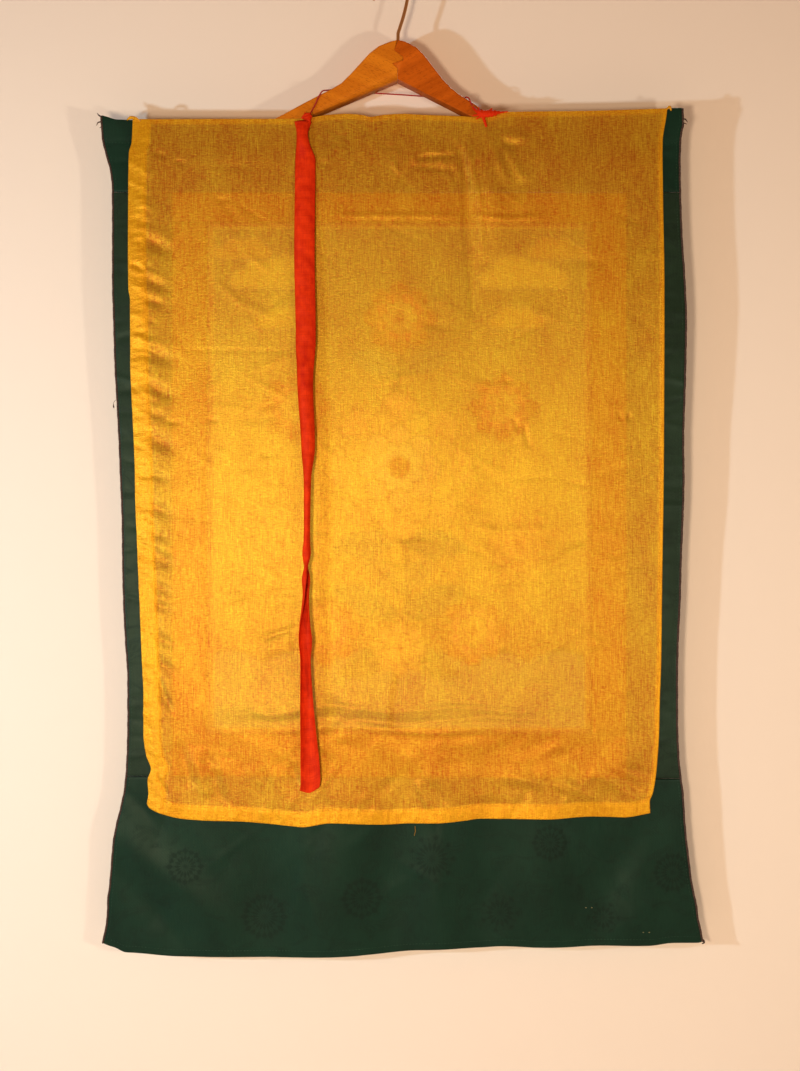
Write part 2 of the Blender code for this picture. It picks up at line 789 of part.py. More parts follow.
def make_arm(name: str, outline, finish, cutter, collection):
    """One wooden arm: a flat outline with thickness, its long edges rounded, bored for the hook's stem."""
    curve = bpy.data.curves.new(name, "CURVE")
    curve.dimensions = "2D"
    curve.fill_mode = "BOTH"
    curve.extrude = ARM_THICKNESS / 2 * MM
    line = curve.splines.new("POLY")
    line.points.add(len(outline) - 1)
    for knot, corner in zip(line.points, outline):
        knot.co = (corner.across * MM, -corner.drop * MM, 0.0, 1.0)
    line.use_cyclic_u = True
    flat = add_object(name, curve, finish, collection)
    flat.rotation_euler = (math.radians(90.0), 0.0, 0.0)
    arm = as_mesh(flat, collection)

    joint = [Vector((corner.across, -corner.drop)) * MM for corner in FINGER_JOINT]
    shape = bmesh.new()
    shape.from_mesh(arm.data)
    bmesh.ops.dissolve_limit(shape, angle_limit=FLAT_ANGLE, verts=shape.verts[:], edges=shape.edges[:])
    bmesh.ops.recalc_face_normals(shape, faces=shape.faces[:])
    weight = shape.edges.layers.float.new("bevel_weight_edge")
    for edge in shape.edges:
        one, other = edge.verts
        runs_along_face = abs(one.co.z - other.co.z) < NEAR * MM
        by_joint = any(
            (end.co.xy - corner).length < JOINT_REACH * MM for end in edge.verts for corner in joint
        )
        edge[weight] = 1.0 if runs_along_face and not by_joint else 0.0
    shape.to_mesh(arm.data)
    shape.free()
    smooth_mesh(arm.data)
    rounding = arm.modifiers.new("Rounded edges", "BEVEL")
    rounding.limit_method = "WEIGHT"
    rounding.width = ARM_ROUNDING * MM
    rounding.segments = 2
    bore = arm.modifiers.new("Bore for the stem", "BOOLEAN")
    bore.operation = "DIFFERENCE"
    bore.object = cutter
    return arm


def as_guide(thing):
    """Marks a cutter or a joined-in strand, which isn't a piece of its own."""
    thing.hide_render = True
    thing.display_type = "WIRE"


def make_hanger(collection, cutters):
    """The coat hanger: two arms with a finger joint and a bent wire hook."""
    above_wood = FINGER_JOINT[0].drop - ARM_ROUNDING
    length = HOLE_DEPTH + ARM_ROUNDING
    bpy.ops.mesh.primitive_cylinder_add(
        vertices=HOLE_SIDES,
        radius=(WIRE / 2 + GAP) * MM,
        depth=length * MM,
        location=place(STEM_ACROSS, above_wood + length / 2, 0.0),
    )
    drill = bpy.context.object
    drill.name = "stem_drill"
    for home in list(drill.users_collection):
        home.objects.unlink(drill)
    cutters.objects.link(drill)
    as_guide(drill)
    left = arm_outline(ARM_TOP_LEFT, ARM_SLOPE_LEFT, -1)
    right = arm_outline(ARM_TOP_RIGHT, ARM_SLOPE_RIGHT, 1)
    make_arm("hanger_arm_left", left, BEECH, drill, collection)
    make_arm("hanger_arm_right", right, BEECH_DARK, drill, collection)
    make_hook(collection)


def make_hook(collection):
    """The bent wire: a straight stem, a lean to the right, then round over the crown to its tip."""
    points = smooth_route(STEM_ROUTE, LEAN_SAMPLES)
    centre_drop = HOOK_RADIUS - WIRE / 2
    for step in range(HOOK_STEPS + 1):
        angle = math.radians(HOOK_TIP_ANGLE) * step / HOOK_STEPS
        reach = HOOK_RADIUS * math.cos(angle)
        points.append(place(reach, centre_drop - HOOK_RADIUS * math.sin(angle), 0.0))
    radii = [WIRE / 2] * len(points)
    wire_curve("hanger_hook", points, radii, WIRE_RESOLUTION, STEEL_WIRE, collection)


def make_cords(collection):
    """The hanging cord and the two cords sewn down the mount's edges."""
    route = smooth_route(CORD_ROUTE, CORD_SAMPLES)
    radii = [HANGING_CORD / 2] * len(route)
    wire_curve("hanging_cord", route, radii, CORD_RESOLUTION, RED_THREAD, collection)
    for name, side, share in (("edge_cord_left", -1, 0.0), ("edge_cord_right", 1, 1.0)):
        strip = MOUNT_PANELS[1] if side < 0 else MOUNT_PANELS[2]
        points = []
        for panel in (MOUNT_PANELS[0], strip, MOUNT_PANELS[3]):
            for row in range(1 if points else 0, panel.rows + 1):
                across, drop = spot(panel, share, row / panel.rows)
                middle = mount_front(across, drop) - DAMASK / 2
                points.append(place(across + side * (GAP + EDGE_CORD / 2), drop, middle))
        radii = [EDGE_CORD / 2] * len(points)
        wire_curve(name, points, radii, EDGE_CORD_RESOLUTION, DARK_CORD, collection)


def make_knot(name: str, strands, collection, cutters):
    """A knot of a few tapering strands, joined into one body."""
    pieces = []
    for i, strand in enumerate(strands):
        home = collection if i == 0 else cutters
        points = [place(*lump[:3]) for lump in strand]
        radii = [lump.radius for lump in strand]
        strand_name = name if i == 0 else f"{name}_strand_{i}"
        made = wire_curve(strand_name, points, radii, KNOT_RESOLUTION, RED_SILK, home)
        pieces.append(as_mesh(made, home))
    knot = pieces[0]
    for strand in pieces[1:]:
        as_guide(strand)
        join = knot.modifiers.new("Joined strand", "BOOLEAN")
        join.operation = "UNION"
        join.object = strand
    return knot


def taken_up(end: Stop, before: Stop) -> tuple:
    """The first two lumps of a knot's strand, in line with a cord's end and one gap past it."""
    run = (Vector(end) - Vector(before)).normalized()
    return tuple(Lump(*(Vector(end) + run * reach), HANGING_CORD / 2) for reach in (GAP, GAP + HANGING_CORD))


def make_ties(collection, cutters):
    """The left ribbon with the knot at its top, and the tied-up right ribbon."""
    make_ribbon(collection)
    left_start = taken_up(CORD_ROUTE[0], CORD_ROUTE[1])
    left = ((*left_start, *KNOT_LEFT_STRANDS[0]), *KNOT_LEFT_STRANDS[1:])
    make_knot("knot_left", left, collection, cutters)
    right_start = taken_up(CORD_ROUTE[-1], CORD_ROUTE[-2])
    right = ((*right_start, *TIE_RIGHT_STRANDS[0]), *TIE_RIGHT_STRANDS[1:])
    make_knot("tie_right", right, collection, cutters)


def main():
    """Builds the whole scroll painting with its hanger."""
    clear_scene()
    parts = new_collection("Thangka scroll painting")
    cutters = new_collection("Cutters")
    make_hanger(parts, cutters)
    for panel in MOUNT_PANELS:
        make_panel(panel, mount_front, DAMASK, -1, GREEN_DAMASK, parts)
    for panel in BORDER_PANELS:
        make_panel(panel, mount_front, SILK_BORDER, -1, ORANGE_SILK, parts)
    make_panel(PICTURE, mount_front, CANVAS, -1, PAINTED_CANVAS, parts)
    make_panel(VEIL, veil_back, VEIL_CLOTH, 1, GOLD_VEIL, parts)
    make_cords(parts)
    make_ties(parts, cutters)


main()
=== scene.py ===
"""A thangka scroll painting on a wooden coat hanger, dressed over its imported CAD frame.

The tables hold real millimetres. Across runs to the viewer's right and drop runs down, both from the inside
of the hook's crown. Front runs from the hook's wire towards the viewer. The mount hangs as one cloth of sewn
panels, the veil is sewn along its top and hangs loose over it, and the ribbon hangs in front of the veil.
"""

import logging
import math
import random
from collections.abc import Callable, Sequence
from dataclasses import dataclass
from enum import Enum

import bmesh
import bpy
import numpy as np
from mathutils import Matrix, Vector

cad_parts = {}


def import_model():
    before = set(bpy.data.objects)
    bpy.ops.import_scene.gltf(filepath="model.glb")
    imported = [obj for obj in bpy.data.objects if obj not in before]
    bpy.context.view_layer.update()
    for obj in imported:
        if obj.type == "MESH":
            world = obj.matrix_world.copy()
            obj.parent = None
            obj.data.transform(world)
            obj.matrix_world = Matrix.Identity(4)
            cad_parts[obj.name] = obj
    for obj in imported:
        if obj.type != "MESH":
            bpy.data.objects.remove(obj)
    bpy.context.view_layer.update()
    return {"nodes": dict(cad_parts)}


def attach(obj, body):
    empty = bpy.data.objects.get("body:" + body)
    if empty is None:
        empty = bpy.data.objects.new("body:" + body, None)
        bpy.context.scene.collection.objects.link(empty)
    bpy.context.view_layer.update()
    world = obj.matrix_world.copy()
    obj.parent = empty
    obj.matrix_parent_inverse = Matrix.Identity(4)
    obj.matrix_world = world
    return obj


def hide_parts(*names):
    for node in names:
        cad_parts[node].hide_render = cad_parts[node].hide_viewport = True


log = logging.getLogger("scroll painting")

MM = 0.001
TURN = 2 * math.pi

Array = np.ndarray
Tree = bpy.types.NodeTree
Socket = bpy.types.NodeSocket
Rows = Sequence[Sequence[float]]
Measure = Array | Sequence[float] | float
Edge = Callable[[Array], Array]
Swept = tuple[Array, list[tuple[int, ...]], Array]
Setting = str | int | float | bool | tuple | Socket
Inputs = dict[str | int, Setting]

# The Mix node's two colour inputs, and how it is set to mix colours
MIX_A = 6
MIX_B = 7
MIX_COLOURS = {"out": 2, "data_type": "RGBA"}


class Slot(Enum):
    """The record's material slots."""

    BEECH = "beech"
    # The right arm's slot; its darker beech is painted shade.
    BEECH_PAINTED_SHADE = "beech_dark"
    STEEL_WIRE = "steel_wire"
    GREEN_DAMASK = "green_damask"
    ORANGE_SILK = "orange_silk"
    PAINTED_CANVAS = "painted_canvas"
    GOLD_VEIL = "gold_veil"
    DARK_CORD = "dark_cord"
    RED_SILK = "red_silk"
    RED_CORD = "red_cord"


def linear(colour: str) -> tuple[float, float, float, float]:
    """Turns a colour to the linear values that Blender mixes.

    Args:
        colour: An sRGB colour, as a hash sign and six hex digits.

    Returns:
        Red, green, blue and an alpha of 1.
    """
    channels = (int(colour[start : start + 2], 16) / 255 for start in (1, 3, 5))
    red, green, blue = (c / 12.92 if c <= 0.04045 else ((c + 0.055) / 1.055) ** 2.4 for c in channels)
    return red, green, blue, 1.0


def set_inputs(tree: Tree, node: bpy.types.Node, inputs: Inputs) -> None:
    """Fills a node's inputs.

    Args:
        tree: The material's node tree.
        node: The node.
        inputs: A value, a hex colour or the socket to link from, for each input by its name or number.
    """
    for key, value in inputs.items():
        if isinstance(value, Socket):
            tree.links.new(value, node.inputs[key])
        else:
            node.inputs[key].default_value = linear(value) if isinstance(value, str) else value


def add_node(tree: Tree, kind: str, inputs: Inputs, out: str | int = 0, **settings: Setting) -> Socket:
    """Adds one shader node.

    Args:
        tree: The material's node tree.
        kind: The node's type, without its ShaderNode prefix.
        inputs: What its inputs get.
        out: The name or number of the output that is wanted.
        settings: The node's own properties.

    Returns:
        That output.
    """
    node = tree.nodes.new(f"ShaderNode{kind}")
    for name, value in settings.items():
        setattr(node, name, value)
    set_inputs(tree, node, inputs)
    return node.outputs[out]


# Shapes that a table holds


def many(kind: type, rows: Sequence[Sequence]) -> tuple:
    """Makes one of a kind from each row of a table, which holds its fields in their order."""
    return tuple(kind(*row) for row in rows)


class Line:
    """A smooth curve through a table's rows, which never overshoots them."""

    def __init__(self, rows: Rows) -> None:
        """Works out the slope at each row, level where the table turns.

        Args:
            rows: Places and values, with the places rising.
        """
        self.at, self.value = np.array(rows, dtype=float).T
        rising = np.diff(self.value) / np.diff(self.at)
        before, after = rising[:-1], rising[1:]
        total = np.where(before + after == 0.0, 1.0, before + after)
        inner = np.where(before * after > 0.0, 2 * before * after / total, 0.0)
        self.slope = np.concatenate((rising[:1], inner, rising[-1:]))

    def __call__(self, at: Array) -> Array:
        """Follows the curve.

        Args:
            at: The places.

        Returns:
            The curve's value at each place, level past its ends.
        """
        at = np.clip(at, self.at[0], self.at[-1])
        after = np.clip(np.searchsorted(self.at, at), 1, len(self.at) - 1)
        span = self.at[after] - self.at[after - 1]
        t = (at - self.at[after - 1]) / span
        return (
            self.value[after - 1] * (1 + 2 * t) * (1 - t) ** 2
            + self.slope[after - 1] * span * t * (1 - t) ** 2
            + self.value[after] * t * t * (3 - 2 * t)
            - self.slope[after] * span * t * t * (1 - t)
        )


@dataclass(frozen=True)
class Straight:
    """An edge that keeps one value."""

    value: float

    def __call__(self, at: Array) -> Array:
        """The same value at each place."""
        return np.zeros_like(at) + self.value


@dataclass(frozen=True)
class Shifted:
    """An edge that runs beside another at a fixed distance."""

    edge: Edge
    by: float

    def __call__(self, at: Array) -> Array:
        """The other edge's value at each place, moved."""
        return self.edge(at) + self.by


@dataclass(frozen=True)
class Slanting:
    """An edge that climbs evenly from one place."""

    start: float
    value: float
    climb: float

    def __call__(self, at: Array) -> Array:
        """The edge's value at each place."""
        return self.value + (at - self.start) * self.climb


def ease(at: Array, start: float, end: float) -> Array:
    """Rises smoothly from 0 at start to 1 at end."""
    t = np.clip((at - start) / (end - start), 0.0, 1.0)
    return t * t * (3 - 2 * t)


def bell(at: Array, middle: float, half_width: float) -> Array:
    """Rises to 1 at the middle and fades away on both sides."""
    return np.exp(-(((at - middle) / half_width) ** 2))


def place(across: Measure, drop: Measure, front: Measure) -> Array:
    """Points in metres from their three measures in millimetres."""
    return np.stack(np.broadcast_arrays(across, -np.asarray(front), -np.asarray(drop)), axis=-1) * MM


def passed(points: Array) -> Array:
    """How long a path is up to each of its points."""
    return np.concatenate(((0.0,), np.cumsum(np.linalg.norm(np.diff(points, axis=0), axis=1))))


@dataclass(frozen=True)
class Fold:
    """A soft ridge in cloth, or a trough where its rise is below zero. Lean turns its length from upright."""

    across: float
    drop: float
    half_width: float
    half_length: float
    lean: float
    rise: float

    def lift(self, across: Array, drop: Array) -> Array:
        """Lifts the cloth.

        Args:
            across: Across of each place.
            drop: Drop of each place.

        Returns:
            How far the fold lifts each place.
        """
        lean = math.radians(self.lean)
        aside, down = across - self.across, drop - self.drop
        along = down * math.cos(lean) + aside * math.sin(lean)
        beside = aside * math.cos(lean) - down * math.sin(lean)
        return self.rise * np.exp(-((along / self.half_length) ** 2) - (beside / self.half_width) ** 2)


@dataclass(frozen=True)
class Crease:
    """A narrow fold that follows a bent line and fades at its two ends."""

    half_width: float
    rise: float
    points: Rows

    def lift(self, across: Array, drop: Array) -> Array:
        """Lifts the cloth.

        Args:
            across: Across of each place.
            drop: Drop of each place.

        Returns:
            How far the crease lifts each place.
        """
        corners = np.array(self.points, dtype=float)
        lengths = np.linalg.norm(np.diff(corners, axis=0), axis=1)
        before = 0.0
        nearest = np.full(across.shape, np.inf)
        share = np.zeros(across.shape)
        for start, end, length in zip(corners, corners[1:], lengths):
            run = (end - start) / length
            along = np.clip((across - start[0]) * run[0] + (drop - start[1]) * run[1], 0.0, length)
            gap = np.hypot(across - start[0] - run[0] * along, drop - start[1] - run[1] * along)
            closer = gap < nearest
            nearest = np.where(closer, gap, nearest)
            share = np.where(closer, (before + along) / lengths.sum(), share)
            before += length
        fade = 1 - np.abs(2 * share - 1) ** 4
        return self.rise * fade * bell(nearest, 0.0, self.half_width)


@dataclass(frozen=True)
class Pucker:
    """A little pit beside a hem, where the thread has drawn the cloth in."""

    across: float
    drop: float
    reach: float
    half_width: float
    depth: float
    lean: float

    def folds(self) -> tuple[Fold, Fold]:
        """The dip beside the hem's stitches, and the ridge above it that they pull up."""
        lean, step = math.radians(self.lean), 1.5 * self.half_width
        aside, up = step * math.cos(lean), step * math.sin(lean)
        size = (self.half_width, 0.42 * self.reach, self.lean)
        dip = Fold(self.across, self.drop, *size, -0.65 * self.depth)
        ridge = Fold(self.across + aside, self.drop - up, *size, 0.12 * self.depth)
        return dip, ridge


@dataclass(frozen=True)
class Crumple:
    """Small folds scattered over a rectangle of cloth."""

    seed: int
    count: int
    left: float
    right: float
    top: float
    bottom: float
    half_width: tuple[float, float]
    half_length: tuple[float, float]
    lean: tuple[float, float]
    rise: tuple[float, float]

    def folds(self) -> tuple[Fold, ...]:
        """Scatters them.

        Returns:
            The folds, about as many up as down.
        """
        draw = random.Random(self.seed)
        spot = ((self.left, self.right), (self.top, self.bottom))
        ranges = (*spot, self.half_width, self.half_length, self.lean)
        return tuple(
            Fold(*(draw.uniform(*ends) for ends in ranges), draw.uniform(*self.rise) * draw.choice((-1, 1)))
            for _ in range(self.count)
        )


def lift_of(folds: Sequence[Fold | Crease], across: Array, drop: Array) -> Array:
    """Adds up folds and creases.

    Args:
        folds: The folds and creases.
        across: Across of each place.
        drop: Drop of each place.

    Returns:
        How far they lift each place.
    """
    total = np.zeros(across.shape)
    for fold in folds:
        total += fold.lift(across, drop)
    return total


# Outlines read from the photograph, to the outer line of the edge cords

MOUNT_LEFT_EDGE = Line(
    (
        (145.5, -290), (165.5, -289), (173.5, -288), (185.5, -285), (200.5, -281), (215.5, -279),
        (270.5, -278.5), (310.5, -278.5), (351, -277.5), (391, -276.5), (431, -274.5), (471, -272.5),
        (511, -271), (551, -269.5), (591.5, -269), (631.5, -268), (671.5, -266), (711.5, -263.5),
        (751.5, -263.5), (781.5, -264), (802, -265), (822, -267), (842, -271), (857, -274.5), (874, -277.5),
        (894, -279.5), (917, -281.5), (932, -283.5), (947, -284), (964, -286.5), (975, -289),
    )
)
MOUNT_RIGHT_EDGE = Line(
    (
        (140.5, 294), (155.5, 294.5), (161.5, 293), (173.5, 292), (190.5, 291.5), (230.5, 292),
        (270.5, 293.5), (310.5, 296), (351, 297.5), (391, 297), (431, 296), (471, 295), (511, 295.5),
        (551, 294.5), (591.5, 293), (631.5, 292), (671.5, 290), (711.5, 289), (751.5, 289), (786.5, 290),
        (807, 292), (827, 294.5), (852, 296), (874, 298), (890, 300), (907, 302), (922, 304.5), (935, 307.5),
        (950, 309.5), (964, 312.5), (974, 314.5),
    )
)
MOUNT_TOP_RIM = Line(
    (
        (-290, 145.5), (-283, 147.5), (-273.5, 150), (-263.5, 150), (-150.5, 150.5), (-91, 150.5),
        (-62, 146.5), (-44, 145.5), (-20, 148.5), (13, 145.5), (34, 146.5), (74, 148), (91, 149),
        (118, 143.5), (193.5, 142.5), (277.5, 139.5), (282.5, 138), (293, 138),
    )
)
MOUNT_BOTTOM_RIM = Line(
    (
        (-289, 975), (-284, 977.5), (-275, 980.5), (-265, 985), (-255.5, 985.5), (-214.5, 989),
        (-162.5, 990), (-100, 990), (-67, 989.5), (-13.5, 987), (31, 982.5), (90, 980.5), (113, 979),
        (156.5, 980), (225.5, 978.5), (259.5, 978), (284, 975.5), (308.5, 975.5), (314.5, 974),
    )
)
VEIL_LEFT_EDGE = Line(
    (
        (150, -257.5), (174, -258.5), (184, -261), (223, -261.5), (274, -261.5), (321, -261), (331, -259.5),
        (395, -259.5), (446, -257.5), (497, -255.5), (531, -255), (582, -253), (646, -250), (684, -248.5),
        (731, -246.5), (765, -246.5), (786, -244), (800, -239), (812, -242.5), (825, -241.5), (834.5, -243),
    )
)
VEIL_RIGHT_EDGE = Line(
    (
        (139, 277.5), (145, 277), (160, 274.5), (170, 273), (188, 272.5), (236, 273), (311, 274), (471, 274),
        (631, 272.5), (691, 271.5), (731, 270), (765, 269), (800, 266.5), (823, 263), (833, 259.5),
        (844, 260),
    )
)
VEIL_TOP_RIM = Line(
    (
        (-257.5, 150), (-150, 149.5), (-91, 149.5), (-62, 145.5), (-44, 144.5), (-27.5, 145.5),
        (-19.5, 147.5), (-7, 145.5), (13, 144.5), (34, 145.5), (74, 147), (91, 148.5), (118, 142.5),
        (193, 141.5), (277.5, 139),
    )
)
VEIL_BOTTOM_RIM = Line(
    (
        (-243, 834.5), (-240.5, 839), (-224, 846), (-207, 850), (-179.5, 852), (-157, 852.5), (-128, 854.5),
        (-100, 857), (-88, 858), (-60, 854), (-7, 856), (21, 854.5), (48, 854), (73, 852), (90, 850),
        (156, 850), (199, 848), (233.5, 848.5), (260, 844),
    )
)

FRAME_LEFT = -218.5
FRAME_RIGHT = 237.5
SEAM_TOP = 222.5
PICTURE_LEFT = -183.5
PICTURE_RIGHT = 202.5
PICTURE_TOP = 252.5
PICTURE_BOTTOM = 766.5
SEAM_BOTTOM = Slanting(-289.0, 808.0, 2.5 / 555.0)
HEADING_STITCH = 173.5
EDGE_CORD = 2.2
HALF_GAP = 0.02
BESIDE_CORD = EDGE_CORD - 0.7


@dataclass(frozen=True)
class Outline:
    """A panel's four edges: left and right by drop, top and bottom by across."""

    left: Edge
    right: Edge
    top: Edge
    bottom: Edge

    def spot(self, share_across: Array, share_down: Array) -> tuple[Array, Array]:
        """Finds places in the panel.

        Args:
            share_across: Shares of the way from the left edge to the right one.
            share_down: Shares of the way from the top edge to the bottom one.

        Returns:
            Across and drop of each place.
        """
        across = np.zeros_like(share_across)
        drop = self.top(across) + share_down * (self.bottom(across) - self.top(across))
        for _ in range(6):
            left, right = self.left(drop), self.right(drop)
            across = left + share_across * (right - left)
            top = self.top(across)
            drop = top + share_down * (self.bottom(across) - top)
        return across, drop


class HangingCloth:
    """How far the mount and the veil hang towards the viewer, fold by fold."""

    mount_stand = 12.0
    veil_thickness = 1.0
    veil_sewn = 0.5
    veil_loose = 2.4
    veil_closest = 0.45
    veil_free_from = 150.0
    veil_free_by = 195.0
    left_hem = 18.0
    bottom_hem = 14.0
    right_hem = 4.0
    top_hem = 5.0
    top_hem_share = 0.35
    hem_soft = 0.8
    hem_thickness = 0.55
    hem_ridge = 1.6
    ridge_width = 14.0
    stitch_width = 1.3
    left_pull = 0.5
    bottom_pull = 0.35
    left_ripple = 0.22
    bottom_ripple = 0.16

    mount_folds = many(
        Fold,
        (
            (-58, 925, 40, 95, 0, 5), (-127, 920, 28, 95, 0, -3), (-2, 930, 26, 95, 0, -3.4),
            (49, 920, 24, 85, 0, 5), (88, 930, 22, 85, 0, -2), (158, 905, 30, 80, 3, 4.6),
            (206, 920, 24, 95, 0, -3.5), (256, 915, 30, 90, -6, 3.2), (-212, 917, 20, 80, 50, 3.6),
            (235, 891, 16, 50, -32, -1.8), (247, 951, 16, 32, -48, 1.5), (-275, 880, 30, 60, 8, 2.6),
            (-248, 926, 15, 60, 42, -1.8), (-60, 500, 130, 200, 0, 2.5), (140, 560, 110, 190, 0, -2),
            (-262, 300, 26, 80, 0, 2.5), (-255, 560, 26, 90, 0, -2), (280, 350, 26, 90, 0, 2.5),
            (276, 620, 24, 90, 0, -2.5), (-284, 147, 20, 24, 0, 3), (296, 150, 16, 20, 0, 2),
        ),
    )
    mount_crumples = many(
        Crumple,
        (
            (11, 60, -280, -232, 170, 800, (1.6, 4), (12, 26), (72, 108), (0.25, 0.6)),
            (12, 60, 250, 294, 160, 800, (1.6, 4), (12, 26), (72, 108), (0.25, 0.6)),
            (13, 70, -270, 300, 815, 985, (3, 9), (14, 46), (-60, 60), (0.2, 0.6)),
        ),
    )
    veil_folds = many(
        Fold,
        (
            (100, 222, 15, 48, 6, 3), (80, 270, 14, 90, 0, -1.4), (-62, 215, 18, 60, -8, 1.6),
            (190, 300, 30, 110, 4, 1.5), (20, 420, 34, 150, -3, 1.6), (150, 560, 30, 150, 2, 1.4),
            (-60, 735, 14, 120, 92, 2.2), (90, 756, 14, 110, 86, 2), (20, 790, 16, 60, 60, 1.8),
            (212, 806, 14, 44, -55, 2.6), (-120, 812, 18, 50, 12, 1.8),
        ),
    )
    veil_puckers = many(
        Pucker,
        (
            (-234, 276, 34, 6.5, 3, 62), (-236, 314, 26, 5, 2.6, 66), (-236, 333, 22, 4.5, 2.2, 70),
            (-233, 386, 32, 6.5, 3.1, 64), (-232, 421, 30, 6, 2.9, 60), (-233, 446, 18, 4, 1.8, 70),
            (-230, 473, 34, 7.5, 3.4, 60), (-232, 507, 20, 4.5, 2.2, 72), (-229, 541, 28, 6, 2.8, 62),
            (-230, 566, 18, 4.5, 2.2, 70), (-227, 591, 32, 7.5, 3.3, 60), (-229, 619, 22, 5, 2.4, 68),
            (-227, 638, 20, 4.5, 2.1, 64), (-226, 672, 24, 5.5, 2.4, 58), (-224, 698, 28, 5.5, 2.5, 48),
            (-226, 730, 28, 4.5, 1.9, 36),
        ),
    )
    veil_creases = many(
        Crease,
        (
            (2.5, -0.9, ((-239, 183), (-222, 188))), (2.5, -0.7, ((-216, 192), (-202, 196))),
            (2.2, -0.6, ((-174, 231), (-158, 231.5))), (3, 0.4, ((-146, 284), (-118, 304))),
            (3, 0.4, ((-174, 312), (-146, 338))), (2.2, -0.6, ((-72, 195), (-60, 195.5))),
            (2.6, 0.9, ((-68, 162), (-44, 176))), (2.4, -0.8, ((-62, 170), (-40, 166))),
            (2.2, 0.7, ((-56, 178), (-42, 182))), (2, 1, ((2, 178), (8, 186), (3, 194), (10, 206))),
            (2, -0.8, ((-6, 178), (4, 178.5))), (1.7, -1.8, ((25, 190.2), (35, 188.2), (68, 186.2))),
            (2.6, -0.7, ((18, 197), (68, 202))), (2, 0.7, ((-60, 247), (76, 247.5))),
            (2, 0.8, ((84, 246.5), (114, 250.5), (154, 248))),
            (3.6, -1.9, ((75, 152), (70, 178), (75, 206), (78, 266), (82, 306), (82, 351))),
            (3.4, 1.2, ((82, 160), (79, 190), (90, 238), (92, 290))),
            (5, 1.5, ((92, 156), (104, 180), (118, 216))), (4.5, 1, ((96, 156), (122, 190), (134, 214))),
            (4.5, 1.7, ((104, 163), (140, 170))), (3.2, -1.6, ((110, 174), (130, 177))),
            (1.6, -0.32, ((-214, 381.5), (-96, 383))), (2, -0.9, ((-182, 451), (-172, 451.5))),
            (2, -0.9, ((-224, 453), (-210, 453.5))), (2, -0.8, ((-130, 486), (-118, 486.5))),
            (2, -0.9, ((114, 412), (122, 412.5))), (2.2, -0.8, ((124, 448), (128, 462))),
            (2.2, -0.9, ((134, 455), (139, 480))), (2, -0.9, ((228, 441), (232, 452))),
            (2, -0.9, ((238, 443), (240, 453))), (1.8, -1, ((202, 756), (203, 766))),
            (5, 0.9, ((145, 606), (195, 576))), (2.6, -1.4, ((-235, 701), (-217, 745))),
            (2.8, -1.2, ((-132, 671), (-90, 658))), (7, 1, ((-128, 682), (-96, 676))),
            (3, 1.2, ((-140, 741), (-120, 748), (-90, 744))),
            (3, 1, ((-160, 735), (-100, 742), (-60, 736), (0, 744), (60, 738), (130, 743), (200, 735))),
            (3, -1, ((-150, 752), (-60, 747), (10, 754), (100, 748), (180, 753))),
            (3, 0.9, ((-120, 762), (-30, 758), (40, 765), (110, 759))),
            (3, -1.6, ((-233, 806), (-222, 829))), (4, 1.5, ((26, 811), (40, 841))),
            (4, -1.4, ((42, 813), (56, 838))), (5, 1.3, ((106, 807), (190, 823))),
            (5, 1.4, ((158, 801), (190, 823), (214, 836))), (4, -1.3, ((150, 812), (176, 830))),
            (4.5, 1.4, ((200, 801), (250, 833))), (4, -1.2, ((214, 800), (254, 822))),
            (6, -1.7, ((-212, 773), (-198, 821))), (7, -1.7, ((-184, 781), (-166, 837))),
            (6, 1.2, ((-198, 781), (-182, 829))), (4, -1.4, ((-99, 795), (-92, 819))),
            (1.4, 0.4, ((-189, 441), (-189, 621))), (1.4, 0.4, ((-149, 541), (-149, 621))),
        ),
    )
    veil_crumples = many(
        Crumple,
        (
            (21, 150, -236, 262, 160, 700, (2.2, 5), (8, 26), (40, 140), (0.12, 0.38)),
            (22, 80, -200, 240, 560, 790, (2.5, 6), (10, 34), (55, 125), (0.25, 0.7)),
            (23, 70, -230, 255, 765, 838, (3, 7), (8, 24), (20, 150), (0.3, 0.9)),
            (24, 50, -70, 150, 156, 230, (2.2, 5), (6, 18), (-60, 60), (0.2, 0.6)),
            (26, 110, -258, -240, 165, 830, (1.8, 3.6), (5, 11), (55, 85), (0.35, 0.9)),
            (27, 60, -235, 250, 842, 854, (2, 4), (4, 8), (-30, 30), (0.2, 0.6)),
        ),
    )
    # Painted shade: the veil's colour is made deeper near its top and foot, where less light falls on it.
    veil_painted_shade = Line(
        ((150, 0.16), (195, 0.2), (260, 0.1), (340, 0.0), (600, 0.0), (700, 0.08), (780, 0.15), (850, 0.13))
    )

    def __init__(self) -> None:
        """Draws the scattered folds once."""
        self.mount_small = self.all_folds(self.mount_crumples)
        puckers, crumples = self.all_folds(self.veil_puckers), self.all_folds(self.veil_crumples)
        self.veil_small = puckers + self.veil_creases + crumples

    @staticmethod
    def all_folds(groups: Sequence[Pucker | Crumple]) -> tuple[Fold, ...]:
        """The folds of several puckers or crumples together."""
        return tuple(fold for group in groups for fold in group.folds())

    def mount(self, across: Array, drop: Array) -> Array:
        """Front of the mount, its border and its picture, with their main folds."""
        return self.mount_stand + lift_of(self.mount_folds, across, drop)

    def mount_front(self, across: Array, drop: Array) -> Array:
        """Front of the mount with its small crumples too."""
        return self.mount(across, drop) + lift_of(self.mount_small, across, drop)

    def painted_shade(self, across: Array, drop: Array) -> Array:
        """Painted shade on the veil: how much deeper its colour is made at its top and foot, and in the dips
        beside its hem, where less light falls on it.
        """
        dips = -lift_of([pucker.folds()[0] for pucker in self.veil_puckers], across, drop)
        return (self.veil_painted_shade(drop) + 0.1 * np.clip(dips, 0.0, 3.0)) * (1 - self.hem_share(across, drop))

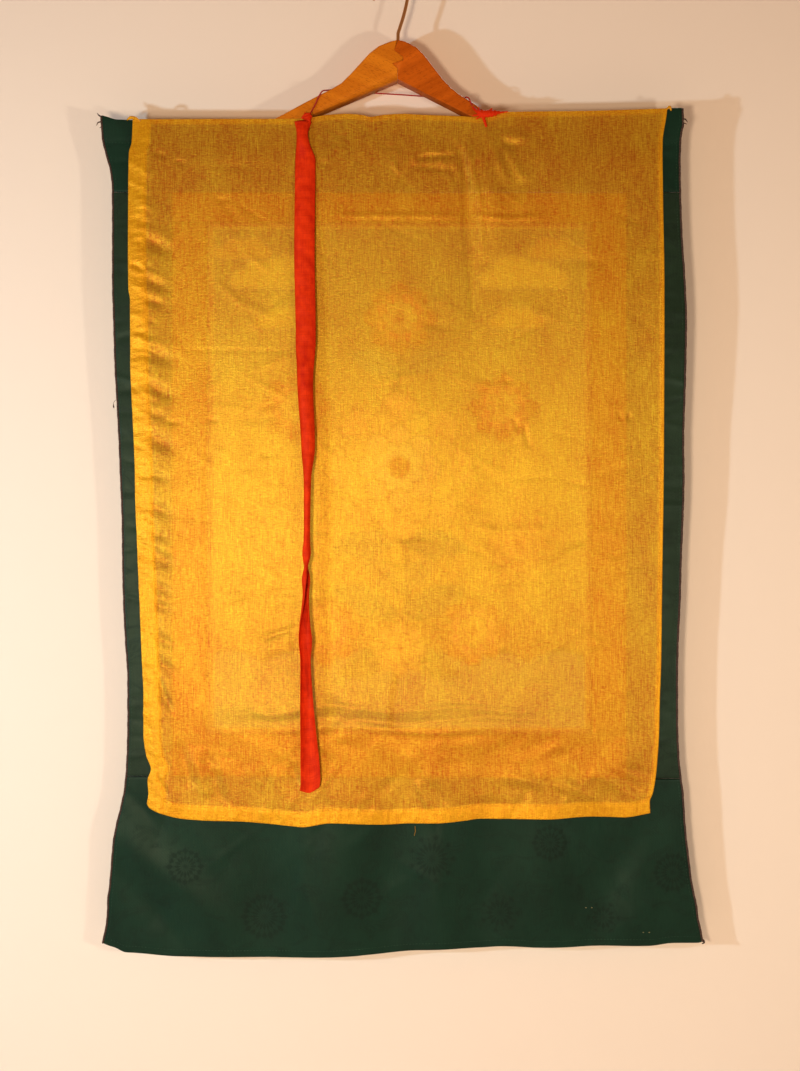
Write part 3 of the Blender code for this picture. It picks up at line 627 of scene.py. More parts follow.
    def hem_share(self, across: Array, drop: Array) -> Array:
        """Finds the veil's hems.

        Args:
            across: Across of each place.
            drop: Drop of each place.

        Returns:
            How much each place lies in a hem, from 0 to 1.
        """
        soft = self.hem_soft
        hems = (
            (across - VEIL_LEFT_EDGE(drop), self.left_hem, 1.0),
            (VEIL_RIGHT_EDGE(drop) - across, self.right_hem, 1.0),
            (VEIL_BOTTOM_RIM(across) - drop, self.bottom_hem, 1.0),
            (drop - VEIL_TOP_RIM(across), self.top_hem, self.top_hem_share),
        )
        shares = [most * (1 - ease(inside, hem - soft, hem + soft)) for inside, hem, most in hems]
        return np.maximum.reduce(shares)

    def hem_relief(self, across: Array, drop: Array) -> Array:
        """The doubled cloth of the hems, drawn in along their stitches, with small puckers across them.

        Args:
            across: Across of each place.
            drop: Drop of each place.

        Returns:
            How far the hems lift each place.
        """
        from_left = across - VEIL_LEFT_EDGE(drop)
        from_bottom = VEIL_BOTTOM_RIM(across) - drop
        beat_down = np.sin(drop / 1.13 + 1.7 * np.sin(drop / 17.0) + from_left / 4.2)
        beat_across = np.sin(across / 1.31 + 1.9 * np.sin(across / 21.0) - from_bottom / 4.6)
        stitched = 1 + 0.5 * np.sin(drop / 2.1)
        return (
            self.hem_thickness * self.hem_share(across, drop)
            - self.left_pull * bell(from_left, self.left_hem, self.stitch_width) * stitched
            - self.bottom_pull * bell(from_bottom, self.bottom_hem, self.stitch_width)
            + self.left_ripple * bell(from_left, 11.0, 7.0) * beat_down
            + self.bottom_ripple * bell(from_bottom, 8.0, 6.0) * beat_across
            + self.hem_ridge * bell(from_left, self.left_hem, self.ridge_width)
        )

    def veil(self, across: Array, drop: Array) -> Array:
        """Front of the veil, sewn along the top, then loose over the mount in its own folds.

        Args:
            across: Across of each place.
            drop: Drop of each place.

        Returns:
            How far towards the viewer each place is.
        """
        loose = ease(drop, self.veil_free_from, self.veil_free_by)
        stand = self.veil_sewn + (self.veil_loose - self.veil_sewn) * loose
        folds = lift_of(self.veil_folds, across, drop) + lift_of(self.veil_small, across, drop)
        small = folds * (0.25 + 0.75 * loose) + self.hem_relief(across, drop) * (0.3 + 0.7 * loose)
        behind = np.maximum(stand + small, self.veil_closest)
        return self.mount(across, drop) + behind + self.veil_thickness


CLOTH = HangingCloth()


# Meshes


def grid_faces(rows: int, columns: int) -> Array:
    """Four-cornered faces of a grid of points, row by row, that face the viewer."""
    corner = np.arange(rows * columns).reshape(rows, columns)
    faces = np.stack((corner[:-1, :-1], corner[1:, :-1], corner[1:, 1:], corner[:-1, 1:]), axis=-1)
    return faces.reshape(-1, 4)


def new_piece(
    name: str,
    points: Array,
    faces: Sequence[Sequence[int]],
    materials: Sequence[bpy.types.Material],
    unrolled: Array | None = None,
    marks: dict[str, Array] | None = None,
) -> bpy.types.Object:
    """Makes a mesh object with smooth shading.

    Args:
        name: The piece's name.
        points: Its corners, in metres.
        faces: The corners of each face.
        materials: Its materials, the front one first.
        unrolled: Where each corner lies on the flat cloth, in metres, for its UV map.
        marks: A number, or a colour of four numbers, at each corner, for its materials.

    Returns:
        The object, at the origin.
    """
    mesh = bpy.data.meshes.new(name)
    mesh.from_pydata(points.reshape(-1, 3).tolist(), [], [list(face) for face in faces])
    if unrolled is not None:
        corners = np.zeros(len(mesh.loops), dtype=np.int32)
        mesh.loops.foreach_get("vertex_index", corners)
        layer = mesh.uv_layers.new(name="UVMap")
        layer.data.foreach_set("uv", unrolled.reshape(-1, 2)[corners].astype(np.float32).ravel())
    for mark, values in (marks or {}).items():
        coloured = values.size == 4 * len(mesh.vertices)
        kind, key = ("FLOAT_COLOR", "color") if coloured else ("FLOAT", "value")
        attribute = mesh.attributes.new(mark, kind, "POINT")
        attribute.data.foreach_set(key, values.astype(np.float32).ravel())
    for material in materials:
        mesh.materials.append(material)
    mesh.shade_smooth()
    mesh.validate()
    piece = bpy.data.objects.new(name, mesh)
    bpy.context.scene.collection.objects.link(piece)
    return piece


def apply_modifier(piece: bpy.types.Object, modifier: bpy.types.Modifier) -> None:
    """Makes a modifier's result the piece's mesh."""
    bpy.ops.object.select_all(action="DESELECT")
    piece.select_set(True)
    bpy.context.view_layer.objects.active = piece
    bpy.ops.object.modifier_apply(modifier=modifier.name)


def thicken(piece: bpy.types.Object, thickness: float) -> None:
    """Gives a sheet its thickness in millimetres, away from the viewer, with its last material behind."""
    wall = piece.modifiers.new("Thickness", "SOLIDIFY")
    wall.thickness = thickness * MM
    wall.offset = -1.0
    wall.material_offset = len(piece.data.materials) - 1
    apply_modifier(piece, wall)


def swept(path: Array, width: Measure, depth: Measure, sides: int) -> Swept:
    """Sweeps an oval along a path and rounds both ends.

    Args:
        path: Points in millimetres, as across, drop and front.
        width: The oval's half width, square to the path and level with the viewer, or one at each point.
        depth: Its half depth, or one at each point.
        sides: How many corners the oval has.

    Returns:
        The corners in metres, the faces, and each corner's place on the unrolled surface.
    """
    count = len(path)
    width, depth = np.broadcast_to(width, count), np.broadcast_to(depth, count)
    runs = np.gradient(path, axis=0)
    runs /= np.linalg.norm(runs, axis=1)[:, None]
    side = np.cross(runs[0], (0.0, 0.0, 1.0))
    if np.linalg.norm(side) < 0.1:
        side = np.cross(runs[0], (1.0, 0.0, 0.0))
    sides_along, over_along = [], []
    for run in runs:
        side = side - run * np.dot(side, run)
        side /= np.linalg.norm(side)
        sides_along.append(side)
        over_along.append(np.cross(run, side))
    lengths = passed(path)
    caps = [(math.sqrt(1 - share * share), share) for share in (0.38, 0.7, 0.92)]
    rings = [(0, -past, share) for past, share in caps]
    rings += [(i, 0.0, 1.0) for i in range(count)]
    rings += [(count - 1, past, share) for past, share in reversed(caps)]
    turn = np.arange(sides) * TURN / sides
    points, unrolled = [], []
    for index, past, share in rings:
        reach = (width[index] + depth[index]) / 2
        points.append(
            path[index]
            + runs[index] * past * reach
            + np.outer(np.cos(turn) * width[index] * share, sides_along[index])
            + np.outer(np.sin(turn) * depth[index] * share, over_along[index])
        )
        along = lengths[index] + past * reach
        unrolled.append(np.stack((turn / TURN, np.full(sides, along * MM)), axis=-1))
    first = path[0] - runs[0] * (width[0] + depth[0]) / 2
    last = path[-1] + runs[-1] * (width[-1] + depth[-1]) / 2
    across, drop, front = np.concatenate((*points, first[None], last[None])).T
    faces = []
    for here in range(0, (len(rings) - 1) * sides, sides):
        there = here + sides
        for i in range(sides):
            after = (i + 1) % sides
            faces.append((here + i, here + after, there + after, there + i))
    tip, last_ring = len(rings) * sides, (len(rings) - 1) * sides
    for i in range(sides):
        after = (i + 1) % sides
        faces.append((tip, after, i))
        faces.append((tip + 1, last_ring + i, last_ring + after))
    tips = ((0.0, 0.0), (0.0, lengths[-1] * MM))
    return place(across, drop, front), faces, np.concatenate((*unrolled, tips))


def smooth_path(stops: Rows, samples: int) -> Array:
    """Runs a smooth curve through a list of stops.

    Args:
        stops: Across, drop and front of each stop, with more columns or none.
        samples: How many points the curve gets.

    Returns:
        The points, evenly spaced, with all the stops' columns.
    """
    table = np.array(stops, dtype=float)
    lengths = passed(table[:, :3])
    steps = np.linspace(0.0, lengths[-1], samples)
    return np.stack([Line(np.stack((lengths, column), axis=-1))(steps) for column in table.T], axis=-1)


def round_piece(name: str, material: bpy.types.Material, shapes: Sequence[Swept]) -> bpy.types.Object:
    """Makes one closed piece from swept shapes.

    Args:
        name: The piece's name.
        material: Its material.
        shapes: The swept shapes.

    Returns:
        The object, with its doubled corners merged and its faces pointing outwards.
    """
    faces: list[tuple[int, ...]] = []
    count = 0
    for points, shape_faces, _ in shapes:
        faces += [tuple(corner + count for corner in face) for face in shape_faces]
        count += len(points)
    corners, unrolled = (np.concatenate([shape[i] for shape in shapes]) for i in (0, 2))
    piece = new_piece(name, corners, faces, [material], unrolled)
    faces_out(piece)
    return piece


def faces_out(piece: bpy.types.Object) -> None:
    """Merges a closed mesh's doubled corners and turns its faces outwards."""
    shape = bmesh.new()
    shape.from_mesh(piece.data)
    bmesh.ops.remove_doubles(shape, verts=shape.verts[:], dist=1e-7)
    bmesh.ops.recalc_face_normals(shape, faces=shape.faces[:])
    shape.to_mesh(piece.data)
    shape.free()


def settle(piece: bpy.types.Object, slot: Slot, *nodes: str) -> None:
    """Makes a finished piece part of the object.

    Args:
        piece: The piece, in its place.
        slot: The record's slot that its finish goes by.
        nodes: The CAD nodes that it stands for.
    """
    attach(piece, "root")
    if nodes:
        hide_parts(*nodes)
    log.info("%s: %d faces, slot %s", piece.name, len(piece.data.polygons), slot.value)


# Finishes


@dataclass(frozen=True)
class Finish:
    """A finish, made into a material the first time that it is asked for."""

    name: str

    def material(self) -> bpy.types.Material:
        """Looks up the finish's material, or else makes it.

        Returns:
            The material.
        """
        material = bpy.data.materials.get(self.name)
        if material is None:
            material = bpy.data.materials.new(self.name)
            material.use_nodes = True
            tree = material.node_tree
            set_inputs(tree, tree.nodes["Principled BSDF"], self.dress(tree))
        return material

    def dress(self, tree: Tree) -> Inputs:
        """Adds the finish's nodes.

        Args:
            tree: The material's node tree.

        Returns:
            What the inputs of its Principled shader get.
        """
        raise NotImplementedError


def stretched_noise(
    tree: Tree,
    coords: Socket,
    size: tuple[float, float, float],
    detail: float = 2.0,
    swirl: float = 0.0,
) -> Socket:
    """Adds noise whose blotches have a real size.

    Args:
        tree: The material's node tree.
        coords: The place, in metres.
        size: The blotches' sizes in millimetres along the three axes.
        detail: How fine its finer layers get.
        swirl: How far it is distorted.

    Returns:
        The noise, from 0 to 1.
    """
    scaled = add_node(tree, "Mapping", {"Vector": coords, "Scale": tuple(1 / (axis * MM) for axis in size)})
    look = {"Vector": scaled, "Scale": 1.0, "Detail": detail, "Distortion": swirl}
    return add_node(tree, "TexNoise", look, "Fac")


def flat_place(tree: Tree) -> Socket:
    """The place on the cloth seen from the front, with its depth left out."""
    split = add_node(tree, "SeparateXYZ", {0: add_node(tree, "TexCoord", {}, "Object")}).node.outputs
    return add_node(tree, "CombineXYZ", {0: split[0], 1: split[2]})


@dataclass(frozen=True)
class Beech(Finish):
    """Varnished beech, planed and sanded: a straight grain with short dark flecks under a warm clear coat."""

    pale: str
    dark: str
    slope: float

    def dress(self, tree: Tree) -> Inputs:
        """Grain bands 3 to 12 mm apart along the arm, and flecks 3 mm long and 0.8 mm wide."""
        coords = add_node(tree, "TexCoord", {}, "Object")
        turned = add_node(tree, "Mapping", {"Vector": coords, "Rotation": (0.0, self.slope, 0.0)})
        grain = stretched_noise(tree, turned, (90.0, 3.0, 3.0), 4.0)
        broad = stretched_noise(tree, turned, (160.0, 12.0, 9.0), 1.0)
        flecks = stretched_noise(tree, turned, (3.0, 0.8, 0.8), 0.0)
        tone = add_node(tree, "Math", {0: grain, 1: 0.35, 2: 0.03}, operation="MULTIPLY_ADD")
        both = add_node(tree, "Math", {0: broad, 1: 0.6, 2: tone}, operation="MULTIPLY_ADD")
        spread = add_node(tree, "MapRange", {"Value": both, "From Min": 0.3, "From Max": 0.72})
        wood = add_node(tree, "Mix", {0: spread, MIX_A: self.pale, MIX_B: self.dark}, **MIX_COLOURS)
        depth = {"Value": flecks, "From Min": 0.62, "From Max": 0.74, "To Max": 0.3}
        flecked = {0: add_node(tree, "MapRange", depth), MIX_A: wood, MIX_B: "#8a5a35"}
        return {
            "Base Color": add_node(tree, "Mix", flecked, blend_type="MULTIPLY", **MIX_COLOURS),
            "Normal": add_node(tree, "Bump", {"Height": grain, "Strength": 0.15, "Distance": 0.0004}),
            "Roughness": 0.5,
            "Specular IOR Level": 0.2,
            "Specular Tint": "#dca878",
        }


@dataclass(frozen=True)
class PlatedWire(Finish):
    """Brassed steel wire, drawn and bent: a warm shine, with faint lengthwise rubbing and dull spots."""

    colour: str = "#c9996a"

    def dress(self, tree: Tree) -> Inputs:
        """Dull spots 4 mm across and fine rubbing."""
        coords = add_node(tree, "TexCoord", {}, "Object")
        spots = stretched_noise(tree, coords, (4.0, 4.0, 4.0), 3.0)
        rubbed = stretched_noise(tree, coords, (0.7, 0.7, 6.0), 1.0)
        return {
            "Base Color": self.colour,
            "Metallic": 1.0,
            "Roughness": add_node(tree, "MapRange", {"Value": spots, "To Min": 0.28, "To Max": 0.5}),
            "Normal": add_node(tree, "Bump", {"Height": rubbed, "Strength": 0.08, "Distance": 0.0002}),
        }


@dataclass(frozen=True)
class Roundel:
    """One round flower of the damask's figure."""

    across: float
    drop: float
    radius: float
    petals: int
    veins: float = 9.0


@dataclass(frozen=True)
class Damask(Finish):
    """Silk damask: a satin ground with roundels and clouds woven in the other face of the same threads.

    The figure differs from the ground in shine more than in colour.
    """

    ground: str
    figure: str
    roundels: tuple[Roundel, ...] = ()

    def flower(self, tree: Tree, flat: Socket, roundel: Roundel) -> Socket:
        """Draws one roundel: a scalloped disc of crossing veins.

        Args:
            tree: The material's node tree.
            flat: The place on the cloth, in metres.
            roundel: Which roundel.

        Returns:
            1 on the roundel's veins, less between them and 0 off it.
        """
        radius = roundel.radius * MM
        heart = (roundel.across * MM / radius, -roundel.drop * MM / radius, 0.0)
        scaled = add_node(tree, "VectorMath", {0: flat, "Scale": 1 / radius}, operation="SCALE")
        local = add_node(tree, "VectorMath", {0: scaled, 1: heart}, operation="SUBTRACT")
        reach = add_node(tree, "VectorMath", {0: local}, "Value", operation="LENGTH")
        split = add_node(tree, "SeparateXYZ", {0: local}).node.outputs
        angle = add_node(tree, "Math", {0: split[1], 1: split[0]}, operation="ARCTAN2")

        def wave(per_reach: float) -> Socket:
            """A cosine with a crest on each petal, which also runs out from the roundel's heart."""
            run = add_node(tree, "Math", {0: reach, 1: per_reach}, operation="MULTIPLY")
            turns = {0: angle, 1: float(roundel.petals), 2: run}
            phase = add_node(tree, "Math", turns, operation="MULTIPLY_ADD")
            return add_node(tree, "Math", {0: phase}, operation="COSINE")

        limit = add_node(tree, "Math", {0: wave(0.0), 1: 0.07, 2: 0.88}, operation="MULTIPLY_ADD")
        inside = add_node(tree, "Math", {0: limit, 1: reach}, operation="SUBTRACT")
        disc = add_node(tree, "MapRange", {"Value": inside, "From Min": -0.05, "From Max": 0.12})
        veins = {0: wave(roundel.veins), 1: wave(-roundel.veins)}
        crossing = add_node(tree, "Math", veins, operation="MULTIPLY")
        shown = {"Value": crossing, "From Min": -0.25, "From Max": 0.3, "To Min": 0.3}
        return add_node(tree, "Math", {0: disc, 1: add_node(tree, "MapRange", shown)}, operation="MULTIPLY")

    def dress(self, tree: Tree) -> Inputs:
        """Roundels, curling clouds 30 mm across, a twill of 1.4 mm that is drawn coarse to show, and wear."""
        flat = flat_place(tree)
        clouds = stretched_noise(tree, flat, (30.0, 22.0, 1.0), 1.0, 1.4)
        banks = {"Value": clouds, "From Min": 0.5, "From Max": 0.62, "To Max": 0.55}
        lines = add_node(tree, "Math", {0: clouds, 1: 0.04}, operation="PINGPONG")
        curls = {"Value": lines, "From Min": 0.01, "From Max": 0.03, "To Min": 1.0, "To Max": 0.3}
        drawn = {0: add_node(tree, "MapRange", banks), 1: add_node(tree, "MapRange", curls)}
        figure = add_node(tree, "Math", drawn, operation="MULTIPLY")
        for roundel in self.roundels:
            over = {0: figure, 1: self.flower(tree, flat, roundel)}
            figure = add_node(tree, "Math", over, operation="MAXIMUM")
        threads = stretched_noise(tree, flat, (0.9, 14.0, 1.0), 2.0)
        worn = stretched_noise(tree, flat, (38.0, 60.0, 1.0), 3.0)
        cloth = add_node(tree, "Mix", {0: figure, MIX_A: self.ground, MIX_B: self.figure}, **MIX_COLOURS)
        shade = add_node(tree, "Math", {0: threads, 1: 0.5, 2: worn}, operation="MULTIPLY_ADD")
        wear = {"Value": shade, "From Min": 0.45, "From Max": 1.05, "To Min": 0.75, "To Max": 1.25}
        toned = {0: cloth, "Scale": add_node(tree, "MapRange", wear)}
        look = {"Vector": flat, "Scale": 220.0, "Distortion": 1.0, "Detail": 1.0}
        twill = add_node(tree, "TexWave", look, "Fac", bands_direction="DIAGONAL")
        height = add_node(tree, "Math", {0: twill, 1: 0.15, 2: threads}, operation="MULTIPLY_ADD")
        bump = add_node(tree, "Bump", {"Height": height, "Strength": 0.3, "Distance": 0.0003})
        raised = {"Height": figure, "Strength": 0.12, "Distance": 0.0003, "Normal": bump}
        return {
            "Base Color": add_node(tree, "VectorMath", toned, operation="SCALE"),
            "Roughness": add_node(tree, "MapRange", {"Value": figure, "To Min": 0.4, "To Max": 0.56}),
            "Normal": add_node(tree, "Bump", raised),
            "Specular IOR Level": 0.16,
            "Specular Tint": "#dcf6ea",
        }


@dataclass(frozen=True)
class WovenSilk(Finish):
    """Plain silk or its dull back: threads both ways, brighter where they catch the light."""

    light: str
    deep: str
    metallic: float
    rough: float
    thread: tuple[float, float] = (0.9, 0.9)
    streak: tuple[float, float] = (1.6, 60.0)
    strength: float = 0.25
    unrolled: bool = False

    def dress(self, tree: Tree) -> Inputs:
        """Threads are drawn about 1 mm wide, coarser than real, so that they show."""
        flat = add_node(tree, "TexCoord", {}, "UV") if self.unrolled else flat_place(tree)
        warp = stretched_noise(tree, flat, (self.thread[0], 22.0, 1.0), 1.0)
        weft = stretched_noise(tree, flat, (22.0, self.thread[1], 1.0), 1.0)
        streaks = stretched_noise(tree, flat, (*self.streak, 1.0), 2.0)
        blotch = stretched_noise(tree, flat, (26.0, 34.0, 1.0), 3.0)
        woven = add_node(tree, "Math", {0: warp, 1: weft}, operation="ADD")
        mixed = add_node(tree, "Math", {0: streaks, 1: blotch}, operation="ADD")
        tone = add_node(tree, "Math", {0: woven, 1: 0.5, 2: mixed}, operation="MULTIPLY_ADD")
        share = add_node(tree, "MapRange", {"Value": tone, "From Min": 1.15, "From Max": 1.85})
        tones = {0: share, MIX_A: self.deep, MIX_B: self.light}
        weave = {"Height": woven, "Strength": self.strength, "Distance": 0.0004}
        return {
            "Base Color": add_node(tree, "Mix", tones, **MIX_COLOURS),
            "Normal": add_node(tree, "Bump", weave),
            "Roughness": self.rough,
            "Metallic": self.metallic,
            "Specular IOR Level": 0.08,
        }


@dataclass(frozen=True)
class PaintedCanvas(Finish):
    """Cotton canvas sized with chalk and painted in mineral colours: matt, with rubs and a faint weave."""

    def dress(self, tree: Tree) -> Inputs:
        """The paint comes with the cloth, as a colour at each of its corners."""
        paint = add_node(tree, "Attribute", {}, "Color", attribute_name="paint")
        coords = add_node(tree, "TexCoord", {}, "Object")
        weave = stretched_noise(tree, coords, (1.1, 1.1, 1.1), 1.0)
        rubbed = stretched_noise(tree, coords, (14.0, 14.0, 14.0), 4.0)
        level = add_node(tree, "MapRange", {"Value": rubbed, "To Min": 0.8, "To Max": 1.2})
        return {
            "Base Color": add_node(tree, "VectorMath", {0: paint, "Scale": level}, operation="SCALE"),
            "Normal": add_node(tree, "Bump", {"Height": weave, "Strength": 0.3, "Distance": 0.0003}),
            "Roughness": 0.75,
        }


@dataclass(frozen=True)
class SheerSilk(Finish):
    """Sheer golden silk: uneven warp and weft, metallic where it faces the light, partly see-through.

    Its hems are doubled cloth, so they are brighter and nearly solid.
    """

    light: str = "#e4c22c"
    deep: str = "#ba5c08"
    hem: str = "#e6b01c"
    hem_deep: str = "#c07408"

    def dress(self, tree: Tree) -> Inputs:
        """Threads 1 mm wide, coarser than real so that they show, and a shimmer 2.4 to 3 mm across."""
        flat = flat_place(tree)
        hem = add_node(tree, "Attribute", {}, "Fac", attribute_name="hem")
        # The veil's painted shade, which deepens its colour at its top and foot and in the dips beside its
        # hem.
        painted_shade = add_node(tree, "Attribute", {}, "Fac", attribute_name="painted_shade")
        warp = stretched_noise(tree, flat, (1.0, 18.0, 1.0), 2.0, 0.7)
        weft = stretched_noise(tree, flat, (5.0, 1.0, 1.0), 2.0, 0.7)
        shimmer = stretched_noise(tree, flat, (2.4, 3.0, 1.0), 4.0, 1.2)
        broad = stretched_noise(tree, flat, (34.0, 60.0, 1.0), 2.0)
        threads = add_node(tree, "Math", {0: warp, 1: weft}, operation="ADD")
        tone = add_node(tree, "Math", {0: shimmer, 1: 0.9, 2: threads}, operation="MULTIPLY_ADD")
        whole = add_node(tree, "Math", {0: broad, 1: 0.6, 2: tone}, operation="MULTIPLY_ADD")
        left = add_node(tree, "Math", {0: whole, 1: painted_shade}, operation="SUBTRACT")
        share = add_node(tree, "MapRange", {"Value": left, "From Min": 1.15, "From Max": 2.35})
        silk = add_node(tree, "Mix", {0: share, MIX_A: self.deep, MIX_B: self.light}, **MIX_COLOURS)
        doubled = add_node(tree, "Mix", {0: share, MIX_A: self.hem_deep, MIX_B: self.hem}, **MIX_COLOURS)
        thick = {"Value": threads, "From Min": 0.75, "From Max": 1.25, "To Min": 0.73, "To Max": 0.84}
        solid = {0: hem, 1: 0.3, 2: add_node(tree, "MapRange", thick)}
        height = add_node(tree, "Math", {0: shimmer, 1: 1.1, 2: threads}, operation="MULTIPLY_ADD")
        return {
            "Base Color": add_node(tree, "Mix", {0: hem, MIX_A: silk, MIX_B: doubled}, **MIX_COLOURS),
            "Alpha": add_node(tree, "Math", solid, operation="MULTIPLY_ADD", use_clamp=True),
            "Normal": add_node(tree, "Bump", {"Height": height, "Strength": 0.5, "Distance": 0.0005}),
            "Roughness": 0.4,
            "Metallic": 0.4,
            "Specular IOR Level": 0.2,
        }


@dataclass(frozen=True)
class TwistedCord(Finish):
    """Spun cotton or silk cord: dull, with its plies showing as slanting bands, lighter on each ply's crest
    and deeper in the grooves between plies, which is painted shade.
    """

    light: str
    deep: str
    pitch: float

    def dress(self, tree: Tree) -> Inputs:
        """Plies slant once round in each pitch, along the cord's own unrolled surface."""
        split = add_node(tree, "SeparateXYZ", {0: add_node(tree, "TexCoord", {}, "UV")}).node.outputs
        slant = {0: split[1], 1: 1 / (self.pitch * MM), 2: split[0]}
        turns = add_node(tree, "Math", slant, operation="MULTIPLY_ADD")
        ply_relief = add_node(tree, "Math", {0: turns, 1: 0.5}, operation="PINGPONG")
        share = add_node(tree, "MapRange", {"Value": ply_relief, "From Max": 0.5})
        # Painted shade: the colour follows the plies' relief, deeper in the grooves and lighter on the
        # crests.
        tones = {0: share, MIX_A: self.deep, MIX_B: self.light}
        return {
            "Base Color": add_node(tree, "Mix", tones, **MIX_COLOURS),
            "Normal": add_node(tree, "Bump", {"Height": share, "Strength": 0.6, "Distance": 0.0003}),
            "Roughness": 0.75,
        }


@dataclass(frozen=True)
class MattPaint(Finish):
    """A matt wall or floor paint."""

    colour: str

    def dress(self, tree: Tree) -> Inputs:
        """One flat colour."""
        return {"Base Color": self.colour, "Roughness": 0.9, "Specular IOR Level": 0.1}


ROUNDELS = many(
    Roundel,
    (
        (-205, 898, 22, 8), (-126, 949, 28, 10), (-28, 930, 25, 8), (42, 890, 26, 9, 7), (160, 874, 22, 8),
        (110, 945, 22, 7, 7), (283, 904, 24, 10), (214, 950, 18, 6, 7),
    ),
)

GREEN_DAMASK = Damask("green silk damask", "#112a20", "#0d2018", ROUNDELS)
# The side strips get a lighter, greyer copy of the damask: painted sheen, standing in for the light their
# crinkled cloth catches.
DAMASK_WITH_PAINTED_SHEEN = Damask("green silk damask, side strips", "#1e2e22", "#16221a")
GREEN_DAMASK_BACK = WovenSilk("green damask, reverse", "#2a4a3d", "#172b24", 0.0, 0.7)
ORANGE_SILK = WovenSilk("orange-red border silk", "#c46420", "#9c3e10", 0.15, 0.5)
ORANGE_SILK_BACK = WovenSilk("orange-red silk, reverse", "#b85424", "#8c3412", 0.0, 0.75)
RED_SILK = WovenSilk(
    "red ribbon silk", "#e0370a", "#b41c02", 0.0, 0.6, (0.8, 0.7), (7.0, 9.0), strength=0.3, unrolled=True
)
RAW_CANVAS = WovenSilk("raw cotton canvas", "#d8cbae", "#b6a684", 0.0, 0.85, (1.1, 1.1), (6.0, 12.0), 0.35)
PAINT = PaintedCanvas("painted cotton canvas")
VEIL_SILK = SheerSilk("sheer golden silk")
VEIL_THREAD = WovenSilk("golden sewing thread", "#e0a020", "#a86c10", 0.1, 0.5)
GREEN_THREAD = WovenSilk("green sewing thread", "#3c5a48", "#22382c", 0.0, 0.6)
PALE_THREAD = WovenSilk("pale sewing thread", "#948e68", "#706a4a", 0.0, 0.7)
DARK_CORD = TwistedCord("dark edge cord", "#4a2c24", "#241310", 3.0)
RED_CORD = TwistedCord("red cotton cord", "#c01c18", "#7c0c0c", 1.6)
BEECH = Beech("varnished beech", "#da801c", "#bc6412", math.radians(-22.8))
# The right arm gets a darker copy of the left arm's beech: its deeper colours are painted shade on that arm.
BEECH_PAINTED_SHADE = Beech("varnished beech, darker board", "#cc6214", "#a4480a", math.radians(27.0))
WIRE = PlatedWire("plated steel wire")


# The studio


@dataclass
class Lamp:
    """An area light that is aimed at a point. Places are across, drop and front in millimetres."""

    name: str
    place: tuple[float, float, float]
    aim: tuple[float, float, float]
    size: float
    watts: float
    colour: tuple[float, float, float]

    def build(self) -> None:
        """Adds the light."""
        light = bpy.data.lights.new(self.name, "AREA")
        light.shape = "DISK"
        light.size = self.size * MM
        light.energy = self.watts
        light.color = self.colour
        lamp = bpy.data.objects.new(self.name, light)
        at, aim = Vector(place(*self.place)), Vector(place(*self.aim))
        lamp.location = at
        lamp.rotation_euler = (aim - at).to_track_quat("-Z", "Y").to_euler()
        bpy.context.scene.collection.objects.link(lamp)


